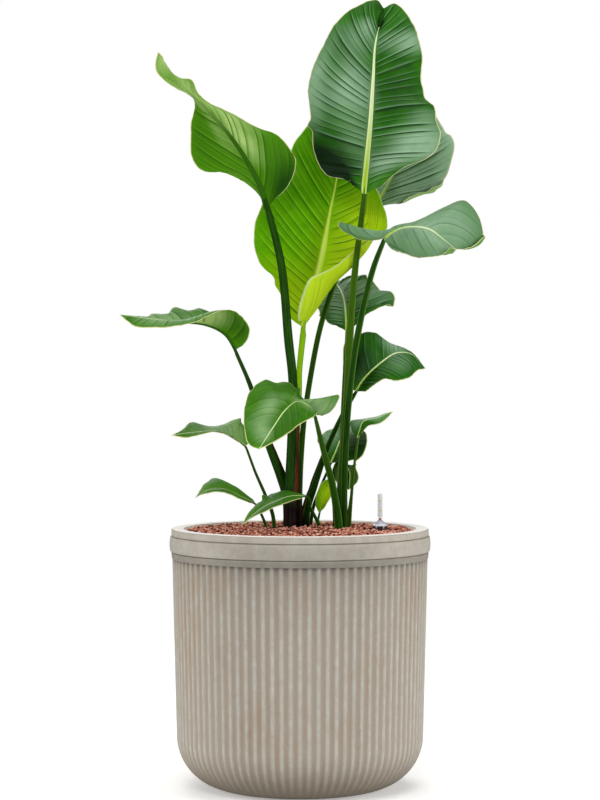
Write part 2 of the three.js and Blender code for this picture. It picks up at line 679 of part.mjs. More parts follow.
add('planter', planter(), 'planter');
add('granulate', granulate(), 'granulate');
add('gauge_cap', gaugeCap(), 'clear');
add('gauge_shaft', gaugeShaft(), 'shaft');
add('gauge_float', gaugeFloat(), 'pointer');
for (const leaf of leaves) {
  add(`leaf_${leaf.name}`, blade(leaf), leaf.finish);
  add(`stalk_${leaf.name}`, stalk(leaf), 'stalk');
}

export default plant;
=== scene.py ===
# A potted bird of paradise: fine leaves and stalks, baked clay granules, a ribbed planter and its
# water gauge, dressed over the fixed frame. Metres, +Z up, and the viewer looks along +Y.
import math
import bmesh
import bpy
import numpy as np
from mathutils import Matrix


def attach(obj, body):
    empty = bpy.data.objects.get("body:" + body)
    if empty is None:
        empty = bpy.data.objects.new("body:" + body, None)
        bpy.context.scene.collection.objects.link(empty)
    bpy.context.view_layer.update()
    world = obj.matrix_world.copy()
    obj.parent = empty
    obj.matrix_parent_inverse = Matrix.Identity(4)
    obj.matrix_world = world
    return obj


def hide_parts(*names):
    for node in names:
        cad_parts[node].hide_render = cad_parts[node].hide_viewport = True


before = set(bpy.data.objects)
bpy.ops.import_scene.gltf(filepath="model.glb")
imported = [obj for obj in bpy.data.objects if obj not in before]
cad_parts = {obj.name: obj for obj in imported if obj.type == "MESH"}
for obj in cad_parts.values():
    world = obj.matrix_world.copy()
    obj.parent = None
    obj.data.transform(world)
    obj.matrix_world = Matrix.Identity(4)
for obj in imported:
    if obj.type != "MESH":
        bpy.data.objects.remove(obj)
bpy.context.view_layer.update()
mm = 0.001
plantBody = "planted_pot"
floatBody = "float"
dice = np.random.default_rng(41)

viewPoint = {
    "place": (0, -3.85, 0.692),
    "tiltDown": 0.8216,  # degrees
    "lens": 105.12,  # on the sensor's upright side, mm
    "sensor": 36,
    "farEnd": 60,
}
studio = {
    "roomStrength": 0.16,
    "floorColour": "#F6F5F3",
    "floorGlow": 0.3,  # an opal table lit from below, so that the floor stays white far off
    "floorRadius": 2.1,
    # white lamps: place, point it faces, width, height, watts
    "lamps": {
        "keySoftbox": ((-0.55, -2.95, 3.0), (0.05, 0.0, 0.95), 2.0, 1.3, 46),
        "topSoftbox": ((0.2, 0.3, 3.3), (0.05, 0.05, 0.7), 2.4, 2.0, 44),
        "leftSoftbox": ((-2.7, -1.7, 1.1), (0.0, 0.0, 0.5), 1.4, 1.9, 45),
        "rightSoftbox": ((2.7, -1.7, 1.1), (0.0, 0.0, 0.5), 1.4, 1.9, 58),
        "rearSoftbox": ((-0.8, 2.9, 2.2), (0.0, 0.1, 0.8), 2.2, 1.6, 34),
    },
}


def linear(hexColour):
    shares = [int(hexColour[start:start + 2], 16) / 255 for start in (1, 3, 5)]
    return tuple(s / 12.92 if s <= 0.04045 else ((s + 0.055) / 1.055) ** 2.4 for s in shares) + (1.0,)


def addNode(tree, kind, settings):
    # a setting names a property in lower case, or a socket by its label or its number, and a node
    # or an output given as its value is linked to it
    node = tree.nodes.new("ShaderNode" + kind)
    for name, value in settings.items():
        if isinstance(value, bpy.types.Node):
            value = value.outputs[0]
        if isinstance(value, bpy.types.NodeSocket):
            tree.links.new(value, node.inputs[name])
        elif isinstance(name, str) and hasattr(node, name):
            setattr(node, name, value)
        else:
            node.inputs[name].default_value = linear(value) if isinstance(value, str) else value
    return node


# what a ramp reads, what it goes from and to in that, and what it gives at those, in order
rampSockets = ("Value", "From Min", "From Max", "To Min", "To Max", "interpolation_type")


def grainScale(size):
    # how many grains of this size in mm come in a metre, in whole numbers
    return round(1 / (size * mm))


def newMaterial(name):
    # with its node tree and the place on the object
    material = bpy.data.materials.new(name)
    material.use_nodes = True
    tree = material.node_tree
    tree.nodes.clear()
    return material, tree, addNode(tree, "TexCoord", {}).outputs["Object"]


def finishMaterial(tree, settings):
    addNode(tree, "OutputMaterial", {"Surface": addNode(tree, "BsdfPrincipled", settings)})


def lookAlong(thing, target):
    direction = np.subtract(target, thing.location)
    flat = math.hypot(direction[0], direction[1])
    thing.rotation_euler = (math.pi / 2 + math.atan2(direction[2], flat), 0,
                            math.atan2(-direction[0], direction[1]))


scene = bpy.context.scene
camera = bpy.data.objects.new("camera", bpy.data.cameras.new("camera"))
camera.location = viewPoint["place"]
camera.rotation_euler = (math.radians(90 - viewPoint["tiltDown"]), 0, 0)
camera.data.lens = viewPoint["lens"]
camera.data.sensor_width = viewPoint["sensor"]
camera.data.clip_end = viewPoint["farEnd"]
scene.collection.objects.link(camera)
scene.camera = camera
scene.view_settings.view_transform = "Standard"
scene.view_settings.look = "None"

for name, (place, target, width, height, watts) in studio["lamps"].items():
    lamp = bpy.data.lights.new(name, "AREA")
    lamp.shape = "RECTANGLE"
    lamp.size = width
    lamp.size_y = height
    lamp.energy = watts
    holder = bpy.data.objects.new(name, lamp)
    holder.location = place
    lookAlong(holder, target)
    holder.visible_camera = False
    scene.collection.objects.link(holder)

room = bpy.data.worlds.new("paleRoom")
scene.world = room
room.use_nodes = True
air = room.node_tree
air.nodes.clear()
seen = addNode(air, "LightPath", {}).outputs["Is Camera Ray"]
ambient = addNode(air, "Background", {"Color": "#FFFFFF", "Strength": studio["roomStrength"]})
backdrop = addNode(air, "Background", {"Color": "#FFFFFF"})
addNode(air, "OutputWorld", {"Surface": addNode(air, "MixShader", {0: seen, 1: ambient, 2: backdrop})})

# matt and pale, so that only soft shadows show
floorMaterial, floorTree, _ = newMaterial("opal acrylic table")
finishMaterial(floorTree, {"Base Color": studio["floorColour"], "Roughness": 0.9,
                           "Specular IOR Level": 0.1, "Emission Color": "#FFFFFF",
                           "Emission Strength": studio["floorGlow"]})
sheet = bmesh.new()
bmesh.ops.create_circle(sheet, cap_ends=True, segments=96, radius=studio["floorRadius"])
floorMesh = bpy.data.meshes.new("floor")
sheet.to_mesh(floorMesh)
sheet.free()
floorMesh.materials.append(floorMaterial)
floor = bpy.data.objects.new("floor", floorMesh)
scene.collection.objects.link(floor)
print("studio ready")


def makePiece(name, points, faces, material, body, slot, layers=None, weld=False):
    # points in metres; layers are numbers kept at the points for the materials to read
    mesh = bpy.data.meshes.new(name)
    mesh.from_pydata(np.asarray(points, float).tolist(), [], [list(face) for face in faces])
    for layer, values in (layers or {}).items():
        kept = mesh.attributes.new(layer, "FLOAT", "POINT")
        kept.data.foreach_set("value", np.asarray(values, np.float32).ravel())
    if weld:
        shell = bmesh.new()
        shell.from_mesh(mesh)
        bmesh.ops.remove_doubles(shell, verts=shell.verts, dist=2e-6)
        bmesh.ops.dissolve_degenerate(shell, edges=shell.edges, dist=1e-7)
        bmesh.ops.recalc_face_normals(shell, faces=shell.faces)
        shell.to_mesh(mesh)
        shell.free()
    mesh.validate()
    mesh.shade_smooth()
    mesh.materials.append(material)
    piece = bpy.data.objects.new(name, mesh)
    scene.collection.objects.link(piece)
    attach(piece, body)
    return piece


def gridFaces(rows, columns, start=0, closed=False, flip=False):
    # quads between rows of points, where a closed row goes round to its own first point
    row, column = np.meshgrid(np.arange(rows - 1), np.arange(columns if closed else columns - 1),
                              indexing="ij")
    beside = (column + 1) % columns
    quads = np.stack([row * columns + column, row * columns + beside, (row + 1) * columns + beside,
                      (row + 1) * columns + column], -1).reshape(-1, 4) + start
    return quads[:, ::-1] if flip else quads


def turnedShape(profile, segments, centre):
    # a body of revolution from (radius, height) pairs in millimetres, listed round its section
    radius, height = np.array(profile, float).T * mm
    turn = np.linspace(0, 2 * math.pi, segments, endpoint=False)
    points = np.stack([radius[:, None] * np.cos(turn) + centre[0],
                       radius[:, None] * np.sin(turn) + centre[1],
                       np.repeat(height[:, None], segments, 1)], -1)
    return points.reshape(-1, 3), gridFaces(len(profile), segments, closed=True)


def curveThrough(stops):
    # a smooth centripetal curve through the stops, as a function of shares from 0 to 1
    stops = np.array(stops, float)
    reach = np.vstack([2 * stops[0] - stops[1], stops, 2 * stops[-1] - stops[-2]])

    def at(shares):
        place = np.clip(np.atleast_1d(shares), 0, 1) * (len(stops) - 1)
        span = np.minimum(place.astype(int), len(stops) - 2)
        part = (place - span)[:, None]
        a, b, c, d = (reach[span + step] for step in range(4))
        ab, bc, cd = (np.sqrt(np.linalg.norm(q - p, axis=1))[:, None] + 1e-9
                      for p, q in ((a, b), (b, c), (c, d)))
        out = ((b - a) / ab - (c - a) / (ab + bc) + (c - b) / bc) * bc
        back = ((c - b) / bc - (d - b) / (bc + cd) + (d - c) / cd) * bc
        return (b + out * part + (3 * (c - b) - 2 * out - back) * part ** 2
                + (2 * (b - c) + out + back) * part ** 3)
    return at


def evenCurve(stops, shares):
    # points at even shares of the curve's length
    at = curveThrough(stops)
    steps = np.linspace(0, 1, 401)
    run = np.concatenate([[0], np.cumsum(np.linalg.norm(np.diff(at(steps), axis=0), axis=1))])
    return at(np.interp(np.asarray(shares) * run[-1], run, steps))


def unit(vectors):
    return vectors / np.maximum(np.linalg.norm(vectors, axis=-1, keepdims=True), 1e-12)


def wander(places, seed, octaves=4):
    # smooth random wave from -1 to 1 along a line, the same each run
    phases = np.random.default_rng(seed).uniform(0, 2 * math.pi, octaves)
    total = sum(np.sin(places * (1.7 ** octave) + phases[octave]) / (octave + 1)
                for octave in range(octaves))
    return total / sum(1 / (octave + 1) for octave in range(octaves))


def columnOf(values, columns):
    # the same value across each row
    return np.repeat(values[:, None], columns, 1)


# Midrib, left and right edge and stalk of each leaf, in millimetres, seen from its upper face with
# the tip up. foldRight is the crease that the right half turns over at. A stalk's fourth number is
# its radius, and neck is its radius at the blade.
leafRails = {
    "01": {
        "neck": 3.6,
        "midrib": [(107, 62, 980), (113, 70, 1040), (119, 84, 1105), (124, 106, 1182), (128, 126, 1239),
            (143, 152, 1304)],
        "left": [(84, 60, 1002), (47, 64, 1010), (37, 69, 1020), (29, 75, 1034), (22, 88, 1058),
            (19, 102, 1090), (12, 105, 1099), (18, 108, 1110), (13, 122, 1165), (22, 127, 1198),
            (35, 132, 1231), (50, 139, 1260), (67, 146, 1285), (79, 149, 1297), (92, 151, 1305),
            (116, 155, 1317), (132, 156, 1319)],
        "right": [(136, 48, 993), (171, 32, 1021), (208, 30, 1036), (221, 31, 1046), (230, 34, 1057),
            (234, 41, 1075), (234, 44, 1083), (228, 51, 1100), (225, 62, 1126), (211, 73, 1143),
            (208, 83, 1162), (204, 89, 1174), (207, 104, 1218), (201, 118, 1249), (183, 139, 1293),
            (172, 144, 1306), (161, 148, 1312)],
        "stalk": [(67, 30, 424, 6), (68, 32, 490, 5.8), (73, 34, 570, 5.7), (78, 38, 638, 5.6),
            (83, 46, 743, 5.6), (92, 54, 853, 4.8), (98, 58, 903, 4.4)]},
    "02": {
        "neck": 3.6,
        "midrib": [(5, 64, 758), (15, 74, 804), (27, 86, 849), (49, 120, 948), (63, 148, 1014),
            (78, 196, 1118)],
        "left": [(-10, 70, 768), (-28, 76, 784), (-32, 78, 811), (-42, 78, 829), (-44, 78, 841),
            (-67, 76, 864), (-72, 77, 875), (-77, 79, 893), (-77, 84, 920), (-73, 90, 943), (-64, 98, 966),
            (-58, 101, 973), (-14, 145, 1063), (-10, 150, 1075), (10, 167, 1102), (32, 183, 1126),
            (45, 190, 1135)],
        "right": [(-3, 54, 768), (-4, 47, 782), (-1, 42, 795), (10, 37, 828), (17, 38, 839), (53, 44, 856),
            (100, 76, 893), (143, 102, 921), (148, 108, 927), (147, 117, 945), (144, 123, 958),
            (97, 182, 1082)],
        "foldRight": [(10, 70, 767), (27, 64, 788), (55, 62, 827), (87, 68, 860), (111, 82, 895),
            (115, 104, 933), (102, 134, 982), (87, 160, 1037), (81, 184, 1086)],
        "stalk": [(-12, 43, 425, 4.6), (-10, 43, 486, 4.6), (-6, 43, 570, 4.6), (-2, 46, 649, 4.6),
            (-1, 51, 686, 4.2), (5, 61, 745, 4.6)]},
    "03": {
        "neck": 4.4,
        "midrib": [(-54, 10, 952), (-66, -8, 990), (-86, -28, 1026), (-113, -52, 1065), (-153, -86, 1109),
            (-191, -116, 1143), (-225, -140, 1190)],
        "left": [(-43, 26, 968), (-21, 37, 990), (-9, 36, 1016), (-7, 33, 1028), (-8, 31, 1038),
            (-20, 24, 1058), (-41, 11, 1076), (-69, -4, 1085), (-125, -43, 1111), (-147, -60, 1119),
            (-163, -77, 1131), (-174, -98, 1152), (-191, -110, 1153), (-205, -119, 1161),
            (-214, -130, 1173), (-219, -138, 1185)],
        "right": [(-70, 8, 982), (-73, 8, 986), (-89, 7, 995), (-128, 3, 1012), (-140, 1, 1011),
            (-155, -3, 1012), (-164, -6, 1016), (-170, -11, 1022), (-178, -21, 1036), (-179, -30, 1049),
            (-177, -54, 1083), (-170, -82, 1121), (-178, -90, 1128), (-198, -104, 1137), (-221, -122, 1151),
            (-229, -130, 1164), (-229, -136, 1177)],
        "stalk": [(-20, 12, 425, 7.2), (-18, 13, 490, 6.6), (-14, 16, 570, 6.4), (-12, 16, 668, 6.5),
            (-19, 16, 736, 6.5), (-31, 14, 861, 5.8)]},
    "04": {
        "neck": 2.8,
        "midrib": [(126, 170, 962), (147, 182, 996), (166, 192, 1040), (171, 202, 1088), (170, 214, 1137),
            (160, 226, 1191)],
        "left": [(115, 178, 975), (110, 190, 1000), (112, 196, 1017), (109, 203, 1044), (108, 209, 1076),
            (109, 213, 1103), (113, 217, 1128), (122, 221, 1149), (132, 224, 1166)],
        "right": [(165, 160, 971), (207, 149, 986), (226, 147, 990), (231, 147, 995), (237, 147, 998),
            (250, 150, 1018), (262, 158, 1053), (265, 162, 1066), (264, 166, 1076), (258, 172, 1089),
            (253, 174, 1092), (240, 185, 1115), (224, 197, 1138), (195, 214, 1169)],
        "stalk": [(-2, 30, 425, 4.8), (-1, 32, 487, 4.6), (1, 37, 530, 4.2), (6, 50, 596, 4),
            (11, 58, 634, 4), (33, 84, 753, 4), (56, 94, 826, 3.8), (82, 116, 890, 3.6),
            (110, 150, 938, 3.2)]},
    "05": {
        "neck": 3,
        "midrib": [(138, -8, 902), (157, -22, 915), (178, -34, 920), (209, -52, 915), (231, -66, 898),
            (251, -78, 881)],
        "left": [(86, 8, 908), (74, 12, 914), (67, 15, 920), (64, 19, 926), (66, 25, 932), (85, 35, 911),
            (95, 39, 904), (110, 43, 901), (126, 46, 902), (139, 47, 905), (144, 48, 914), (191, 44, 928),
            (245, 28, 958), (271, 11, 966), (282, 1, 957), (290, -8, 945), (296, -16, 931), (299, -28, 916),
            (298, -39, 904), (292, -49, 895), (285, -55, 889), (269, -66, 883)],
        "right": [(140, -14, 896), (162, -42, 880), (183, -69, 870), (208, -97, 867), (236, -98, 873)],
        "stalk": [(74, 12, 423, 4.8), (73, 13, 491, 4.8), (76, 14, 570, 4.8), (81, 16, 638, 4.8),
            (95, 14, 742, 4.8), (120, 6, 851, 4.2)]},
    "06": {
        "neck": 2.4,
        "midrib": [(-106, 14, 720), (-124, 6, 746), (-155, -6, 761), (-213, -26, 766), (-293, -52, 776)],
        "left": [(-95, 8, 726), (-88, 1, 735), (-84, -6, 743), (-82, -12, 750), (-83, -18, 758),
            (-99, -38, 777), (-113, -52, 783), (-122, -59, 784), (-136, -62, 781), (-161, -58, 767),
            (-172, -56, 763), (-239, -60, 754), (-264, -64, 756), (-281, -60, 766)],
        "right": [(-107, 24, 730), (-119, 29, 754), (-129, 40, 767), (-137, 47, 774), (-164, 43, 789),
            (-189, 27, 785), (-209, 18, 789), (-220, 8, 780), (-243, -10, 778), (-250, -14, 773),
            (-269, -34, 774)],
        "stalk": [(-20, 25, 424, 6.6), (-22, 24, 475, 6.8), (-32, 24, 509, 6.4), (-52, 24, 562, 5.2),
            (-79, 22, 651, 3.6), (-88.5, 18, 676, 3)]},
    "07": {
        "neck": 1.6,
        "midrib": [(-90, 4, 561), (-100, -6, 569), (-130, -20, 585), (-163, -32, 585), (-209, -46, 580)],
        "left": [(-97, -8, 564), (-111, -27, 577), (-135, -41, 584), (-151, -46, 584), (-182, -50, 576),
            (-197, -48, 577)],
        "right": [(-83, 12, 568), (-87, 23, 584), (-97, 29, 600), (-98, 30, 606), (-136, 24, 592),
            (-150, 18, 592), (-177, -2, 600), (-185, -11, 596), (-190, -20, 590)],
        "stalk": [(-42, 10, 422, 3), (-46, 12, 450, 2.8), (-58, 10, 481, 2.4), (-74, 6, 518, 2)]},
    "08": {
        "neck": 2.4,
        "midrib": [(25, -20, 612), (11, -26, 629), (-5, -36, 635), (-24, -62, 621), (-43, -94, 594),
            (-65, -124, 560)],
        "left": [(31, -40, 619), (21, -56, 610), (-2, -84, 597), (-27, -106, 579), (-51, -120, 566)],
        "right": [(36, -14, 611), (48, -12, 616), (57, -13, 625), (61, -14, 632), (65, -14, 641),
            (64, -14, 646), (39, -8, 638), (15, -4, 634), (9, -4, 636), (1, -3, 647), (1, -3, 659),
            (-6, -3, 656), (-15, -4, 664), (-28, -7, 667), (-40, -11, 665), (-56, -18, 670),
            (-61, -21, 668), (-73, -33, 661), (-78, -42, 654), (-83, -46, 651), (-89, -65, 631),
            (-91, -80, 614), (-88, -103, 586), (-84, -114, 571), (-77, -119, 564)],
        "stalk": [(64, 0, 423, 6.4), (61, -2, 454, 5.8), (53, -6, 499, 5), (41.5, -12, 543, 4.4),
            (33, -16, 576, 3.6)]},
    "09": {
        "neck": 1.7,
        "midrib": [(10, -22, 480), (-16, -26, 479), (-39, -40, 472), (-62, -62, 462), (-94, -100, 437)],
        "left": [(2, -34, 476), (-19, -50, 471), (-45, -72, 462), (-74, -92, 450)],
        "right": [(0, -12, 482), (-27, 1, 488), (-40, -4, 485), (-48, -9, 482), (-55, -16, 478),
            (-62, -20, 481), (-62, -25, 473), (-69, -36, 469), (-80, -60, 459)],
        "stalk": [(34, 4, 423, 2.8), (24, -2, 446, 2.4), (16, -10, 462, 2.1)]},
    "10": {
        "neck": 2.4,
        "midrib": [(78, 70, 751), (78, 86, 770), (76, 114, 800), (71, 146, 819), (59, 205, 840)],
        "left": [(66, 84, 758), (47, 97, 766), (39, 108, 777), (33, 111, 777), (34, 113, 782),
            (29, 128, 794), (28, 146, 808), (32, 159, 817), (43, 182, 831)],
        "right": [(92, 66, 760), (97, 65, 764), (104, 64, 762), (107, 62, 774), (125, 63, 787),
            (148, 71, 796), (156, 75, 792), (159, 80, 799), (160, 90, 809), (157, 96, 815), (151, 104, 819),
            (140, 114, 819), (136, 119, 822), (126, 134, 836), (116, 147, 842), (114, 151, 847),
            (111, 156, 849), (93, 178, 846), (88, 182, 850), (87, 187, 842), (80, 194, 842)],
        "stalk": [(69, 50, 422, 3.2), (68, 50, 489, 3.2), (70, 51, 569, 3.2), (73, 54, 646, 3),
            (77, 62, 715, 3)]},
    "11": {
        "neck": 2.4,
        "midrib": [(94, 66, 650), (107, 72, 670), (139, 100, 700), (165, 124, 715), (192, 148, 712),
            (216, 170, 688)],
        "left": [(73, 66, 661), (72, 74, 693), (76, 88, 731), (84, 90, 732), (94, 97, 743), (101, 101, 748),
            (113, 110, 751), (129, 123, 748), (148, 139, 734), (176, 155, 725), (192, 162, 715)],
        "right": [(110, 56, 650), (130, 55, 665), (141, 58, 670), (161, 74, 668), (177, 90, 670),
            (186, 100, 673), (200, 132, 685), (206, 146, 686)],
        "stalk": [(9, 45, 425, 5), (14, 44, 461, 5), (22, 44, 486, 4.8), (35, 50, 526, 4.2),
            (45, 56, 554, 3.8), (69, 64, 607, 3.2)]},
    "12": {
        "neck": 1.6,
        "midrib": [(52, 86, 529), (60, 100, 547), (69, 128, 567), (87, 196, 592)],
        "left": [(42, 90, 539), (36, 91, 538), (37, 93, 546), (33, 100, 559), (29, 105, 565),
            (31, 118, 576), (35, 123, 576), (47, 145, 583), (57, 160, 586), (62, 170, 594), (67, 174, 589),
            (73, 182, 590)],
        "right": [(66, 80, 530), (78, 81, 531), (91, 85, 534), (96, 86, 533), (105, 91, 541),
            (113, 107, 558), (114, 121, 569), (113, 138, 578), (102, 168, 588)],
        "stalk": [(18, 54, 427, 2.6), (23, 56, 459, 2.4), (30, 60, 478, 2.2), (39, 70, 500, 2)]},
    "13": {
        "neck": 1.5,
        "midrib": [(95, 2, 574), (99, -4, 587), (104, -12, 601), (126, -34, 608), (151, -58, 619)],
        "left": [(86, 6, 587), (83, 8, 602), (99, 4, 605), (128, -16, 610), (142, -40, 616)],
        "right": [(102, -10, 583), (113, -24, 595), (130, -44, 599), (144, -57, 610)],
        "stalk": [(82, 10, 424, 2.4), (86, 8, 491, 2.2), (90, 6, 531, 1.9)]},
    "14": {
        "neck": 1.5,
        "midrib": [(62, 58, 530), (72, 62, 528), (82, 66, 517), (82, 66, 485)],
        "left": [(55, 56, 522), (54, 58, 509), (67, 63, 492)],
        "right": [(72, 66, 531), (89, 71, 526), (95, 71, 528), (94, 72, 524), (99, 72, 507), (97, 70, 499),
            (92, 69, 493)],
        "stalk": [(58, 60, 423, 2.2), (56, 56, 470, 2), (57, 53, 505, 1.7)]},
    "15": {
        "neck": 1.5,
        "midrib": [(32, 24, 449), (38, 27, 470), (52, 36, 505)],
        "left": [(26, 26, 460), (28, 32, 482), (40, 37, 502)],
        "right": [(40, 20, 457), (52, 20, 477), (60, 29, 498)],
        "stalk": [(32, 22, 424, 2), (30, 23, 439, 1.8)]},
    "16": {
        "neck": 1.5,
        "midrib": [(-74, 4, 466), (-99, 0, 478), (-125, -6, 490), (-148, -14, 490), (-171, -30, 478)],
        "left": [(-82, -6, 467), (-132, -35, 487), (-155, -38, 484)],
        "right": [(-83, 14, 475), (-106, 30, 491), (-137, 36, 506), (-143, 34, 507), (-148, 29, 505),
            (-159, 10, 497), (-162, 0, 491)],
        "stalk": [(-56, 12, 425, 2.2), (-64, 8, 448, 1.9)]},
}

# How each blade is finished, where it isn't as usual. pitch is the space between its side veins in
# mm. lean is how far they run towards the tip for each mm away from the midrib, at the base, middle
# and tip, left and then right where that differs, and foldLean how much more beyond foldRight.
# pleat is the height of the folds between veins, ruffle the wave of its edges and rib half the
# midrib's width at its base, all in mm. The midrib narrows by the power ribFade, sinks into the
# blade at ribEnd and thins out over ribTaper before that, and the pleats fade over smoothTip before
# the tip, all as shares of the length. A patch is across, along, its two radii and a strength: tones
# are deeper (minus) or lighter (plus) green, mostly painted shade, where a part turns away from the
# light or lies in a shadow, and painted light, with some of the leaf's own colour; blooms are pale
# wax with painted sheen over it; and dents are hollows (minus) or swells (plus) in mm. A roll is a
# side, from and to along it, its width in mm, and over (1) or under (-1): the margin turned back on
# the blade.
usualBlade = {"skin": "fresh", "lean": ((0.4, 0.6, 0.9),), "foldLean": 0, "ribFade": 0.9, "ribEnd": 1.1,
              "ribTaper": 0.015, "smoothTip": 0.1, "shadeLightTones": [], "waxSheenPatches": [], "dents": [], "rolls": []}
